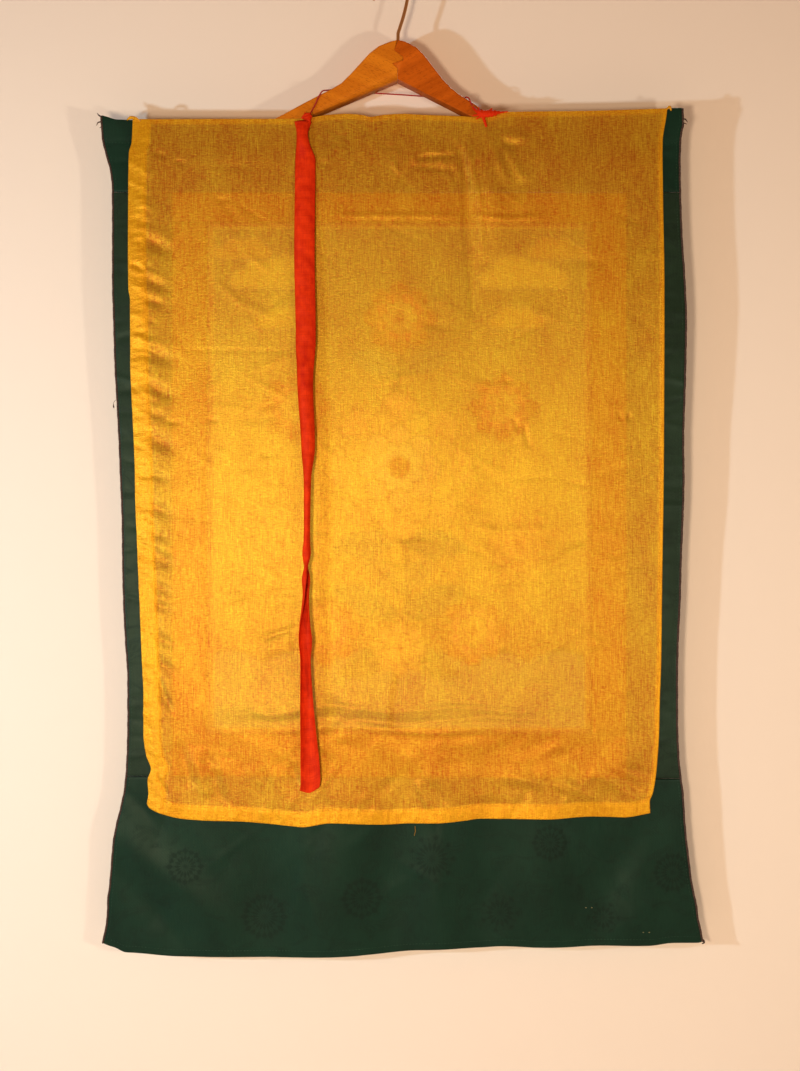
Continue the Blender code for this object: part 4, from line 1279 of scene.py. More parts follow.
@dataclass
class Studio:
    """The camera, the lights, a plain backdrop close behind the cloth and a plain floor."""

    camera_place: tuple[float, float, float] = (0.010, -1.365, -0.56675)
    lens: float = 45.38
    sensor: float = 36.0
    wall_top: float = 33.0
    wall_bottom: float = 16.0
    wall_drops: tuple[float, float] = (150.0, 970.0)
    wall_rise: float = 900.0
    wall_half: float = 1500.0
    floor_drop: float = 1300.0
    floor_half: float = 3000.0
    amber: tuple[float, float, float] = (1.0, 0.78, 0.52)
    daylight: tuple[float, float, float] = (0.66, 0.9, 1.0)
    pale: tuple[float, float, float] = (1.0, 1.0, 0.9)
    warm: tuple[float, float, float] = (1.0, 0.9, 0.7)
    room: tuple[float, float, float, float] = (1.0, 0.5, 0.23, 1.0)
    room_strength: float = 0.3

    def build(self) -> None:
        """Puts up the whole studio."""
        self.build_camera()
        self.build_lights()
        self.build_backdrop()
        self.build_floor()
        bpy.context.scene.view_settings.view_transform = "Standard"
        bpy.context.scene.view_settings.look = "None"

    def build_camera(self) -> None:
        """A camera that looks straight along the Y axis, as the photograph's does."""
        camera = bpy.data.cameras.new("camera")
        camera.sensor_fit = "VERTICAL"
        camera.sensor_height = self.sensor
        camera.lens = self.lens
        holder = bpy.data.objects.new("camera", camera)
        holder.location = self.camera_place
        holder.rotation_euler = (math.radians(90.0), 0.0, 0.0)
        bpy.context.scene.collection.objects.link(holder)
        bpy.context.scene.camera = holder

    def build_lights(self) -> None:
        """An amber main light left of the camera, paler lamps at both sides and one high behind."""
        for lamp in (
            Lamp("main light", (-290, 680, 1400), (0, 560, 0), 170, 9.9, self.amber),
            Lamp("left lamp", (-1000, 640, 900), (0, 560, 0), 60, 7.4, self.daylight),
            Lamp("right lamp", (740, 720, 1100), (0, 560, 0), 90, 3.6, self.warm),
            Lamp("back light", (300, -900, -1300), (0, 600, 0), 900, 20.0, self.pale),
        ):
            lamp.build()
        world = bpy.data.worlds.new("room")
        world.use_nodes = True
        tree = world.node_tree
        set_inputs(tree, tree.nodes["Background"], {"Color": self.room, "Strength": self.room_strength})
        bpy.context.scene.world = world

    def build_backdrop(self) -> None:
        """A wall that leans a little, as far off as the shadows say. It is seen from the front only."""
        high, low, half = -self.wall_rise, self.floor_drop, self.wall_half
        start, end = self.wall_drops
        lean = (self.wall_bottom - self.wall_top) / (end - start)
        behind_high, behind_low = (-(self.wall_top + (drop - start) * lean) for drop in (high, low))
        front = (behind_high, behind_low, behind_low, behind_high)
        points = place((-half, -half, half, half), (high, low, low, high), front)
        paint = MattPaint("cream wall paint", "#efe2da").material()
        tree = paint.node_tree
        sides = {
            0: add_node(tree, "NewGeometry", {}, "Backfacing"),
            1: tree.nodes["Principled BSDF"].outputs[0],
            2: add_node(tree, "BsdfTransparent", {}),
        }
        set_inputs(tree, tree.nodes["Material Output"], {"Surface": add_node(tree, "MixShader", sides)})
        wall = new_piece("backdrop", points, [(0, 1, 2, 3)], [paint])
        wall.visible_shadow = False

    def build_floor(self) -> None:
        """A plain pale floor, well below the cloth."""
        half = self.floor_half
        points = place((-half, half, half, -half), self.floor_drop, (half, half, -half, -half))
        paint = MattPaint("pale floor", "#e6dfd4").material()
        new_piece("floor", points, [(0, 1, 2, 3)], [paint])


# The object's own pieces


@dataclass
class HangingCord:
    """The thin red cord from the left knot, over and behind the hanger's arms, to the right knot."""

    diameter: float = 1.6
    length: float = 0.22
    samples: int = 240
    lay_pitch: float = 4.2
    strand: float = 0.46
    route: Rows = (
        (-79.4, 143.2, 12.8), (-78.2, 140, 10.2), (-75.5, 134.5, 8.9), (-71.5, 125.6, 8.9),
        (-69.3, 121.9, 8.8), (-67.6, 119.6, 7.4), (-65.4, 118.1, 4.5), (-62.5, 116.6, 0.5),
        (-59.4, 114.7, -3.8), (-56.6, 112.9, -7.2), (-53.6, 113, -9), (-49, 114, -9.2), (-17, 116.5, -8.9),
        (8, 118, -8.9), (30, 119.5, -8.9), (64, 121.6, -9.2), (69.4, 121.2, -8.8), (72.2, 121.6, -6.4),
        (74.6, 123.2, -2), (76.6, 124.7, 3), (78.2, 126.1, 7.2), (79.8, 128.9, 8.9), (81.2, 132, 9),
        (82.2, 134.6, 9.2),
    )

    def build(self) -> None:
        path = smooth_path(self.route, self.samples)
        runs = np.gradient(path, axis=0)
        runs /= np.linalg.norm(runs, axis=1)[:, None]
        side = np.cross(runs, (0.0, 1.0, 0.35))
        side /= np.linalg.norm(side, axis=1)[:, None]
        over = np.cross(runs, side)
        turn = passed(path) * TURN / self.lay_pitch
        reach = self.diameter / 2 - self.strand
        plies = []
        for ply in range(3):
            angle = (turn + ply * TURN / 3)[:, None]
            line = path + reach * (np.cos(angle) * side + np.sin(angle) * over)
            plies.append(swept(line, self.strand, self.strand, sides=8))
        cord = round_piece("hanging_cord_twist", RED_CORD.material(), plies)
        tuple(place(*self.route[0]))
        [tuple(point) for point in place(*path[::8].T)] + [tuple(place(*self.route[-1]))]
        settle(cord, Slot.RED_CORD, "hanging_cord")


@dataclass
class Hanger:
    """The coat hanger: two beech arms with a finger joint, and the bent wire hook."""

    nodes: dict[str, bpy.types.Object]
    wire: float = 3.5
    hook_radius: float = 18.2
    hook_tip: float = math.radians(205.0)
    bend_steps: int = 60
    sharp_from: float = math.radians(38.0)
    stem: Rows = (
        (8, 90, 0), (8, 74, 0), (8, 60, 0), (9.5, 54.5, 0), (13, 43.5, 0), (15.6, 33.5, 0), (17.6, 24, 0),
    )

    def build(self) -> None:
        """Builds the three pieces."""
        self.build_arm("arm_left", "hanger_arm_left", BEECH, Slot.BEECH)
        self.build_arm("arm_right", "hanger_arm_right", BEECH_PAINTED_SHADE, Slot.BEECH_PAINTED_SHADE)
        self.build_hook()

    def build_arm(self, name: str, node: str, finish: Finish, slot: Slot) -> None:
        """Copies an arm from its CAD node, welds it and shades its rounded edges.

        Args:
            name: The piece's name.
            node: The CAD node.
            finish: Its wood.
            slot: The record's slot.
        """
        mesh = self.nodes[node].data.copy()
        mesh.name = name
        shape = bmesh.new()
        shape.from_mesh(mesh)
        bmesh.ops.remove_doubles(shape, verts=shape.verts[:], dist=1e-6)
        shape.to_mesh(mesh)
        shape.free()
        mesh.materials.clear()
        mesh.materials.append(finish.material())
        mesh.shade_smooth()
        mesh.set_sharp_from_angle(angle=self.sharp_from)
        arm = bpy.data.objects.new(name, mesh)
        bpy.context.scene.collection.objects.link(arm)
        even = arm.modifiers.new("Even shading", "WEIGHTED_NORMAL")
        even.keep_sharp = True
        apply_modifier(arm, even)
        settle(arm, slot, node)

    def build_hook(self) -> None:
        """Bends the wire round from its stem to its rounded tip."""
        stem = smooth_path(self.stem, samples=40)
        angle = self.hook_tip * np.arange(self.bend_steps + 1) / self.bend_steps
        centre_drop = self.hook_radius - self.wire / 2
        across, drop = self.hook_radius * np.cos(angle), centre_drop - self.hook_radius * np.sin(angle)
        path = np.concatenate((stem, np.stack((across, drop, np.zeros_like(angle)), axis=-1)))
        wire = swept(path, self.wire / 2, self.wire / 2, sides=20)
        settle(round_piece("hook_wire", WIRE.material(), [wire]), Slot.STEEL_WIRE, "hanger_hook")


@dataclass
class Panel:
    """One flat-cut panel of cloth, thin, with its edges turned back into its seams."""

    name: str
    node: str
    slot: Slot
    outline: Outline
    front: Finish
    back: Finish
    flat: tuple[float, float]
    area: float
    cell: float
    thickness: float
    rests_on: tuple[str, ...]
    turned: float
    crumpled: bool = False
    top_stitch: float = 0.0
    roll_width: float = 1.2
    roll_most: float = 1.2
    tuck: float = 1.3
    stitch_width: float = 1.6
    stitch_depth: float = 0.5

    @staticmethod
    def shares(length: float, cell: float) -> Array:
        """Places of the grid's lines along an edge, closer at its two ends.

        Args:
            length: The edge's length.
            cell: How far apart the lines are elsewhere.

        Returns:
            Shares of the length, from 0 to 1.
        """
        near, inner = np.array((0.0, 0.5, 1.1, 2.0)), 3.4
        count = max(int((length - 6.0) / cell), 1)
        middle = np.linspace(inner, length - inner, count + 1)
        return np.concatenate((near, middle, length - near[::-1])) / length

    def paint(self, across: Array, drop: Array) -> dict[str, Array]:
        """Colours to lay on the cloth, none on plain panels."""
        return {}

    def build(self) -> None:
        """Lays the cloth over its folds and turns its edges back."""
        width, height = self.flat[0] / MM, self.flat[1] / MM
        share_across, share_down = np.meshgrid(self.shares(width, self.cell), self.shares(height, self.cell))
        across, drop = self.outline.spot(share_across, share_down)
        surface = CLOTH.mount_front if self.crumpled else CLOTH.mount
        from_side = np.minimum(share_across, 1 - share_across) * width
        from_end = np.minimum(share_down, 1 - share_down) * height
        rolled = bell(from_side, 0.0, self.roll_width) + bell(from_end, 0.0, self.roll_width)
        at_edge = np.minimum(from_side, from_end) < 0.01
        front = surface(across, drop) - self.turned * np.minimum(rolled, self.roll_most)
        front -= np.where(at_edge, self.tuck, 0.0)
        if self.top_stitch:
            front -= self.stitch_depth * bell(drop, self.top_stitch, self.stitch_width)
        piece = new_piece(
            self.name,
            place(across, drop, front),
            grid_faces(*across.shape),
            [self.front.material(), self.back.material()],
            marks=self.paint(across, drop),
        )
        thicken(piece, self.thickness)
        settle(piece, self.slot, self.node)


@dataclass(frozen=True)
class Brush:
    """One painted shape's colour and how far its edge fades, in millimetres."""

    colour: str
    soft: float = 5.0

    def lay(self, paint: Array, inside: Array) -> None:
        """Lays the colour where a distance inside the shape is above zero.

        Args:
            paint: The canvas's colours, which change.
            inside: How far inside the shape each place is, in millimetres.
        """
        cover = ease(inside, -self.soft / 2, self.soft / 2)[..., None]
        paint[:] = paint * (1 - cover) + np.array(linear(self.colour)) * cover


@dataclass
class Picture(Panel):
    """The painted canvas, with a plain flower design of its own: lotuses, leaves, clouds and waves."""

    middle: float = 9.5

    @staticmethod
    def lotus(paint: Array, x: Array, y: Array, radius: float, tones: Sequence[str]) -> None:
        """Paints an open lotus seen from the front, in rings of eight petals.

        Args:
            paint: The canvas's colours, which change.
            x: Across from the flower's heart.
            y: Drop from the flower's heart.
            radius: The outer petals' reach.
            tones: The rings' colours, the outer ring first.
        """
        petals = 8
        reach, angle = np.hypot(x, y), np.arctan2(y, x)
        for i, tone in enumerate(tones):
            size = radius * (1 - i / (len(tones) + 0.6))
            lobe = np.abs(np.cos(petals * (angle + i * math.pi / petals) / 2)) ** 0.55
            Brush("#8a6420", 2.5).lay(paint, size * (0.66 + 0.34 * lobe) + 1.6 - reach)
            Brush(tone).lay(paint, size * (0.66 + 0.34 * lobe) - reach)
        Brush("#b06820").lay(paint, radius * 0.15 - reach)

    @staticmethod
    def cloud(paint: Array, x: Array, y: Array, size: float, tone: str) -> None:
        """Paints a bank of round clouds with a flat foot.

        Args:
            paint: The canvas's colours, which change.
            x: Across from the cloud's middle.
            y: Drop from the cloud's foot.
            size: Half the cloud's width.
            tone: Its colour.
        """
        lobes = (
            (-0.7, -0.1, 0.3), (-0.3, -0.32, 0.4), (0.2, -0.26, 0.42),
            (0.66, -0.08, 0.3), (0.0, -0.02, 0.5),
        )
        inside = [r * size - np.hypot(x - dx * size, (y - dy * size) * 1.25) for dx, dy, r in lobes]
        inside = np.minimum(np.max(inside, axis=0), -y + 0.1 * size)
        Brush("#8c7a3c", 2.5).lay(paint, inside + 2.0)
        Brush(tone).lay(paint, inside)

    @staticmethod
    def leaf(paint: Array, x: Array, y: Array, length: float, lean: float, tone: str) -> None:
        """Paints a pointed leaf that grows from its foot.

        Args:
            paint: The canvas's colours, which change.
            x: Across from the leaf's foot.
            y: Drop from the leaf's foot.
            length: How long it is.
            lean: Which way it points, in degrees from upright.
            tone: Its colour.
        """
        turn = math.radians(lean)
        along = (x * math.sin(turn) - y * math.cos(turn)) / length
        beside = (x * math.cos(turn) + y * math.sin(turn)) / length
        half = 0.2 * np.sin(math.pi * np.clip(along, 0.0, 1.0)) ** 0.8
        inside = np.where((along > 0) & (along < 1), (half - np.abs(beside)) * length, -5.0)
        Brush(tone).lay(paint, inside)
        Brush("#39421c", 1.6).lay(paint, np.minimum(inside, 0.9 - np.abs(beside) * length))

    def paint(self, across: Array, drop: Array) -> dict[str, Array]:
        """Paints the whole canvas.

        Args:
            across: Across of each corner of the cloth.
            drop: Drop of each corner.

        Returns:
            The paint at each corner.
        """
        x, y = across - self.middle, drop - PICTURE_TOP
        paint = np.zeros((*across.shape, 4))
        paint[:] = linear("#dcc23a")
        Brush("#96802c", 160.0).lay(paint, 150.0 - y)
        Brush("#b4902c", 120.0).lay(paint, y - 370.0)
        mirrored = np.abs(x)
        for foot, size, tone in ((62.0, 46.0, "#e2c83c"), (104.0, 30.0, "#dcba34"), (34.0, 30.0, "#d0a030")):
            self.cloud(paint, mirrored - 206.0 + size + foot * 0.55, y - foot, size, tone)
        for down, reach, tone in ((508, 30, "#d9c06a"), (486, 26, "#a6a650"), (462, 22, "#a6a650")):
            swell = np.abs(np.sin(x / 21.0 + down)) * reach * 0.5
            crest = y - (down - reach - swell)
            Brush(tone, 3.0).lay(paint, crest)
            Brush("#6c6a2c", 2.0).lay(paint, 1.4 - np.abs(crest))
        Brush("#4e5a22", 2.0).lay(paint, np.where(y > 120, 3.2 - np.abs(x - 9.0 * np.sin(y / 46.0)), -5.0))
        for down, length, lean, tone in (
            (396, 74, 66, "#8f9a3a"),
            (372, 58, 42, "#b4a83e"),
            (318, 70, 98, "#a2a23c"),
            (150, 54, 70, "#a8a63e"),
            (132, 44, 30, "#c0a83c"),
            (430, 66, 112, "#7d8a34"),
        ):
            self.leaf(paint, mirrored, y - down, length, lean, tone)
        for along, down, radius, tones in (
            (0.0, 246.0, 74.0, ("#f2cc48", "#f2d848", "#f8dc58", "#f8e860")),
            (0.0, 96.0, 36.0, ("#b04810", "#e07a28", "#e2b838")),
            (104.0, 186.0, 34.0, ("#b85418", "#e68c34", "#e4bc3c")),
            (118.0, 322.0, 30.0, ("#e4b43c", "#e6c640")),
            (74.0, 410.0, 34.0, ("#c07024", "#eaa244", "#e8c840")),
            (0.0, 428.0, 26.0, ("#e8c048", "#ecd048")),
        ):
            self.lotus(paint, mirrored - along, y - down, radius, tones)
        edges = (across - PICTURE_LEFT, PICTURE_RIGHT - across, drop - PICTURE_TOP, PICTURE_BOTTOM - drop)
        edge = np.minimum.reduce(edges)
        Brush("#d8a830", 1.5).lay(paint, 7.0 - edge)
        Brush("#a83a18", 1.5).lay(paint, 4.0 - edge)
        return {"paint": paint}


@dataclass
class Mount:
    """The green damask mount, its orange-red border strips, the picture and the cords down the edges."""

    cell: float = 3.0
    strip_cell: float = 2.4
    picture_cell: float = 2.5
    damask_thickness: float = 0.9
    silk_thickness: float = 0.7
    canvas_thickness: float = 0.7
    picture_flat: tuple[float, float] = (0.3857, 0.5137)
    cord_ends: Rows = ((147.6, 974.9), (139.7, 973.2))
    cord_points: int = 420
    cord_behind: float = 0.8
    above_seam: Edge = Shifted(SEAM_BOTTOM, -HALF_GAP)

    def build(self) -> None:
        """Builds every panel and both edge cords."""
        left, right = Shifted(MOUNT_LEFT_EDGE, BESIDE_CORD), Shifted(MOUNT_RIGHT_EDGE, -BESIDE_CORD)
        above, below = self.above_seam, Shifted(SEAM_BOTTOM, HALF_GAP)
        seam_over, seam_under = Straight(SEAM_TOP - HALF_GAP), Straight(SEAM_TOP + HALF_GAP)
        frame_left, frame_right = Straight(FRAME_LEFT - HALF_GAP), Straight(FRAME_RIGHT + HALF_GAP)
        top = Outline(left, right, MOUNT_TOP_RIM, seam_over)
        left_side = Outline(left, frame_left, seam_under, above)
        right_side = Outline(frame_right, right, seam_under, above)
        bottom = Outline(left, right, below, MOUNT_BOTTOM_RIM)
        for name, node, outline, finish, flat, area, cell in (
            ("top_panel", "mount_top", top, GREEN_DAMASK, (0.58, 0.078), 0.0445, self.cell),
            ("left_strip", "mount_left", left_side, DAMASK_WITH_PAINTED_SHEEN, (0.061, 0.586), 0.0304, self.strip_cell),
            ("right_strip", "mount_right", right_side, DAMASK_WITH_PAINTED_SHEEN, (0.061, 0.588), 0.0324, self.strip_cell),
            ("bottom_panel", "mount_bottom", bottom, GREEN_DAMASK, (0.6, 0.181), 0.1019, self.cell),
        ):
            Panel(
                name, node, Slot.GREEN_DAMASK, outline, finish, GREEN_DAMASK_BACK, flat, area, cell,
                self.damask_thickness, rests_on=("hanger_arm_left",), turned=0.3, crumpled=True,
                top_stitch=HEADING_STITCH if name == "top_panel" else 0.0,
            ).build()
        self.build_border()
        self.build_picture()
        for side, name in ((-1, "left"), (1, "right")):
            self.build_edge_cord(side, f"edge_piping_{name}", f"edge_cord_{name}")

    def build_border(self) -> None:
        """Sews the four silk strips round the picture."""
        left, right = Straight(FRAME_LEFT + HALF_GAP), Straight(FRAME_RIGHT - HALF_GAP)
        picture_left, picture_right = Straight(PICTURE_LEFT - HALF_GAP), Straight(PICTURE_RIGHT + HALF_GAP)
        over, under = Straight(PICTURE_TOP - HALF_GAP), Straight(PICTURE_BOTTOM + HALF_GAP)
        upper, lower = Straight(PICTURE_TOP + HALF_GAP), Straight(PICTURE_BOTTOM - HALF_GAP)
        for side, outline, flat in (
            ("top", Outline(left, right, Straight(SEAM_TOP + HALF_GAP), over), (0.4557, 0.0297)),
            ("left", Outline(left, picture_left, upper, lower), (0.0347, 0.5137)),
            ("right", Outline(picture_right, right, upper, lower), (0.0347, 0.5137)),
            ("bottom", Outline(left, right, under, self.above_seam), (0.4557, 0.0428)),
        ):
            Panel(
                f"border_strip_{side}", f"border_{side}", Slot.ORANGE_SILK, outline, ORANGE_SILK,
                ORANGE_SILK_BACK, flat, flat[0] * flat[1], self.cell, self.silk_thickness,
                rests_on=("top_panel", "bottom_panel"), turned=0.5,
            ).build()

    def build_picture(self) -> None:
        """Paints the canvas and sets it in the border."""
        left, right = Straight(PICTURE_LEFT + HALF_GAP), Straight(PICTURE_RIGHT - HALF_GAP)
        top, bottom = Straight(PICTURE_TOP + HALF_GAP), Straight(PICTURE_BOTTOM - HALF_GAP)
        flat = self.picture_flat
        Picture(
            "painted_canvas", "picture", Slot.PAINTED_CANVAS, Outline(left, right, top, bottom), PAINT,
            RAW_CANVAS, flat, flat[0] * flat[1], self.picture_cell, self.canvas_thickness,
            rests_on=("border_strip_top", "border_strip_bottom"), turned=0.4,
        ).build()

    def build_edge_cord(self, side: int, name: str, node: str) -> None:
        """Sews the thin cord down one edge.

        Args:
            side: -1 for the left edge and 1 for the right one.
            name: The piece's name.
            node: The CAD node that it stands for.
        """
        edge = MOUNT_LEFT_EDGE if side < 0 else MOUNT_RIGHT_EDGE
        drop = np.linspace(*self.cord_ends[side > 0], self.cord_points)
        across = edge(drop) - side * EDGE_CORD / 2
        front = CLOTH.mount_front(across, drop) - self.cord_behind
        wobble = 0.12 * np.sin(drop / 3.1) + 0.08 * np.sin(drop / 1.3 + 1.0)
        path = np.stack((across + wobble, drop, front), axis=-1)
        cord = swept(path, EDGE_CORD / 2, EDGE_CORD / 2, sides=10)
        settle(round_piece(name, DARK_CORD.material(), [cord]), Slot.DARK_CORD, node)


@dataclass
class Veil:
    """The sheer golden veil: one sheet, with its left, bottom, right and top edges turned back and hemmed."""

    column: float = 2.1
    row: float = 2.3
    front: tuple[float, float] = (530.0, 705.0)
    flat: tuple[float, float] = (0.556, 0.728)
    area: float = 0.4
    behind: float = -0.66
    hem_cell: float = 3.2
    bend: float = 1.6
    inset: float = 2.2
    turn: Rows = ((0.9, -0.62), (0.2, -0.5), (0.0, -0.3), (0.2, -0.1), (0.9, 0.0))

    def folded(self, hem: float) -> list[tuple[float, float]]:
        """The lines of one folded end, from its raw edge round to the front."""
        count = max(int(hem / self.hem_cell), 1)
        back = [(hem + (self.bend - hem) * i / count, self.behind) for i in range(count + 1)]
        return back + list(self.turn)

    def lines(self, length: float, cell: float, start_hem: float, end_hem: float) -> tuple[Array, Array]:
        """Grid lines of a sheet whose two ends are folded back behind it.

        Args:
            length: How long the front is.
            cell: How far apart the lines are.
            start_hem: How far the first end is folded back.
            end_hem: How far the last end is folded back.

        Returns:
            The lines' places as shares of the length, and how far they lie before the front.
        """
        reach = length - 2 * self.inset
        count = int(reach / cell)
        middle = [(self.inset + reach * i / count, 0.0) for i in range(count + 1)]
        end = [(length - at, depth) for at, depth in reversed(self.folded(end_hem))]
        places, depths = np.array(self.folded(start_hem) + middle + end).T
        return places / length, depths

    def build(self) -> None:
        """Hangs the veil, with its hems and its painted shade marked for its finish."""
        columns, column_depth = self.lines(self.front[0], self.column, CLOTH.left_hem, CLOTH.right_hem)
        rows, row_depth = self.lines(self.front[1], self.row, CLOTH.top_hem, CLOTH.bottom_hem)
        outline = Outline(VEIL_LEFT_EDGE, VEIL_RIGHT_EDGE, VEIL_TOP_RIM, VEIL_BOTTOM_RIM)
        across, drop = outline.spot(*np.meshgrid(columns, rows))
        depth = column_depth[None, :] + 0.6 * row_depth[:, None]
        veil = new_piece(
            "golden_veil",
            place(across, drop, CLOTH.veil(across, drop) + depth),
            grid_faces(*across.shape),
            [VEIL_SILK.material()],
            marks={"hem": CLOTH.hem_share(across, drop), "painted_shade": CLOTH.painted_shade(across, drop)},
        )
        veil.visible_shadow = False
        settle(veil, Slot.GOLD_VEIL, "veil")


@dataclass
class Ribbon:
    """The red silk ribbon that hangs down the front, curled and once twisted.

    Each stop holds its drop, where its middle is, how wide it looks, how far its curl is squeezed, how far it
    is turned in degrees, and how far it stands off the veil.
    """

    width: float = 22.0
    thickness: float = 0.45
    columns: int = 22
    rows: int = 300
    tightest: float = math.radians(320.0)
    outline_soft: float = 1.0
    clear: float = 0.5
    flat: tuple[float, float] = (0.022, 0.675)
    stops: Rows = (
        (152.7, -87, 18.5, 1, 0, 0.4), (165.5, -87.5, 12.5, 1, 0, 0.6), (173.5, -87, 14, 1, 0, 0.8),
        (193, -84.5, 21.5, 1, 0, 1.2), (282.5, -85, 21.5, 1, 0, 6), (372.5, -83.5, 21, 1, 0, 8),
        (412, -84, 17, 1, 0, 8.5), (481.5, -81, 14.5, 1, 0, 9), (511.5, -81.5, 8.5, 0.82, 0, 9),
        (571, -82, 7.2, 0.7, 10, 9), (598, -82.7, 12, 1.32, 90, 8.5), (624, -83, 7.6, 0.8, 170, 8.5),
        (656, -84, 12.1, 1, 180, 8), (670.5, -83.5, 14.5, 1, 180, 7.5), (690.5, -83.5, 11.7, 1, 180, 7),
        (750.5, -81.5, 15.5, 1, 180, 4.5), (815, -79, 20.8, 1, 180, 1.6), (823, -80, 20.8, 1, 180, 0.8),
    )
    end_cut: Rows = ((0.0, -6.0), (0.55, 0.5), (1.0, -2.5))
    top_cut: Rows = ((0.0, 0.0), (0.6, 0.6), (1.0, 0.5))

    def curl_for(self, spread: float) -> float:
        """Finds how tightly the ribbon curls, by halving.

        Args:
            spread: How wide it looks.

        Returns:
            The angle that it curls through.
        """
        low, high = math.radians(1.0), self.tightest
        for _ in range(30):
            curl = (low + high) / 2
            half = curl / 2
            seen = self.width / half * (math.sin(half) if half < math.pi / 2 else 1.0)
            low, high = (curl, high) if seen > spread else (low, curl)
        return curl

    def section(self, spread: float, squeeze: float, turn: float, shares: Array) -> tuple[Array, Array]:
        """The ribbon's cross-section at one height.

        Args:
            spread: How wide it looks there.
            squeeze: How far its curl is squeezed.
            turn: How far it is turned, in degrees.
            shares: Shares of the way across the ribbon.

        Returns:
            How far aside and how far before its back each share lies.
        """
        curl = self.curl_for(spread / squeeze)
        radius = self.width / curl
        angle = (shares - 0.5) * curl
        aside = radius * np.sin(angle) * squeeze
        front = radius * (np.cos(angle) - math.cos(curl / 4)) * math.sqrt(2 - squeeze * squeeze)
        turned = math.radians(turn)
        sideways = aside * math.cos(turned) - front * math.sin(turned)
        forwards = aside * math.sin(turned) + front * math.cos(turned)
        return sideways - (sideways.min() + sideways.max()) / 2, forwards - forwards.min()

    def build(self) -> None:
        """Curls the ribbon down its length and gives it its cut ends and small cross creases."""
        table = np.array(self.stops)
        heights = np.linspace(table[0, 0], table[-1, 0], self.rows)
        columns = [Line(table[:, (0, i)])(heights) for i in range(1, table.shape[1])]
        shares = np.linspace(0.0, 1.0, self.columns + 1)
        asides, fronts = [], []
        for height, middle, spread, squeeze, turn, stand in zip(heights, *columns):
            aside, front = self.section(spread - self.outline_soft, squeeze, turn, shares)
            base = CLOTH.veil(np.array((middle,)), np.array((height,)))[0] + stand + self.clear
            asides.append(middle + aside)
            fronts.append(base + front)
        share_down = ((heights - heights[0]) / (heights[-1] - heights[0]))[:, None]
        low = Line(self.end_cut)(shares) * share_down**12
        high = Line(self.top_cut)(shares) * (1 - share_down) ** 20
        drop = heights[:, None] + low + high
        ripple = (
            0.22 * np.sin(drop / 5.3 + 3.0 * shares)
            + 0.16 * np.sin(drop / 2.4 - 5.0 * shares + 1.3 * np.sin(drop / 19.0))
            + 0.5 * np.sin(drop / 31.0 + 2.2 * shares)
        )
        front = np.array(fronts) + ripple * np.sin(math.pi * np.clip(share_down * 12, 0, 0.5))
        unrolled = np.stack(np.broadcast_arrays(shares * self.width * MM, heights[:, None] * MM), axis=-1)
        ribbon = new_piece(
            "ribbon_hanging",
            place(np.array(asides), drop, front),
            grid_faces(*drop.shape),
            [RED_SILK.material()],
            unrolled,
        )
        thicken(ribbon, self.thickness)
        settle(ribbon, Slot.RED_SILK, "ribbon_left")


@dataclass
class Knot:
    """A tied silk ribbon: a few flat, crumpled strands wound round each other."""

    name: str
    node: str
    strands: Sequence[Rows]
    flatness: float = 0.7
    fullness: float = 1.12
    points_a_stop: int = 14

    def build(self) -> None:
        """Winds the strands and dresses them in the ribbon's silk."""
        shapes = []
        for i, strand in enumerate(self.strands):
            samples = self.points_a_stop * len(strand)
            path = smooth_path(strand, samples)
            along = np.linspace(0.0, 1.0, samples)
            crumple = 1 + 0.16 * np.sin(along * 9.0 * len(strand) + i * 1.7) + 0.1 * np.sin(along * 31.0 + i)
            width = path[:, 3] * self.fullness * crumple
            depth = path[:, 3] * self.flatness * (2 - crumple)
            shapes.append(swept(path[:, :3], width, depth, sides=12))
        settle(round_piece(self.name, RED_SILK.material(), shapes), Slot.RED_SILK, self.node)


# Strands and threads: each row holds across, drop, front and half width

KNOT_LEFT = Knot(
    "knot_of_ribbon",
    "knot_left",
    (
        (
            (-79.8, 144.3, 13.8, 0.8), (-80.6, 146.4, 15.8, 1.2), (-82.2, 148.6, 17, 1.5),
            (-85, 149.4, 16.4, 1.3),
        ),
        (
            (-87.6, 149.4, 15.2, 1), (-85.2, 146.9, 15.5, 1.5), (-82.2, 146.2, 15.8, 1.9),
            (-80, 148.3, 15.7, 1.9), (-81.6, 150.5, 15.5, 1.6), (-85.4, 150.9, 15.2, 1.2),
        ),
        ((-84, 147, 15.8, 0.9), (-85.2, 143.4, 14.8, 0.4)),
        (
            (-80.6, 147.6, 16.2, 1.4), (-81.4, 151.6, 16.8, 2.3), (-82.4, 156.2, 17, 2),
            (-83.4, 161, 16.4, 0.8),
        ),
    ),
)
KNOT_RIGHT = Knot(
    "tied_up_ribbon",
    "tie_right",
    (
        (
            (82.9, 136.4, 9.9, 0.8), (85, 139.8, 12.2, 1.3), (88.4, 143, 15, 2), (92.2, 145.2, 16.6, 2.5),
            (97, 145.6, 16.7, 2.6), (101.4, 143.9, 16.3, 2.3), (107, 143.9, 15.4, 1.3),
            (117.5, 142.8, 14.6, 0.5),
        ),
        ((97, 145.2, 16.5, 1.9), (101.6, 140.4, 15.8, 0.8)),
        ((89, 143.4, 15.8, 2), (95, 145.6, 16.8, 3.3), (102, 145.2, 16.6, 2.9), (109, 143.6, 15.6, 1.2)),
        ((92, 146.6, 16.2, 1.6), (94.4, 152, 15.6, 1.3), (96, 157.4, 15.6, 1.1)),
        ((90.6, 146, 16, 1.4), (82.6, 146.7, 15, 0.4)), ((91.4, 147.2, 16, 1.2), (86, 150.4, 14.8, 0.4)),
        ((88.2, 142.8, 14.6, 1.2), (89, 138, 13.6, 0.4)),
    ),
)


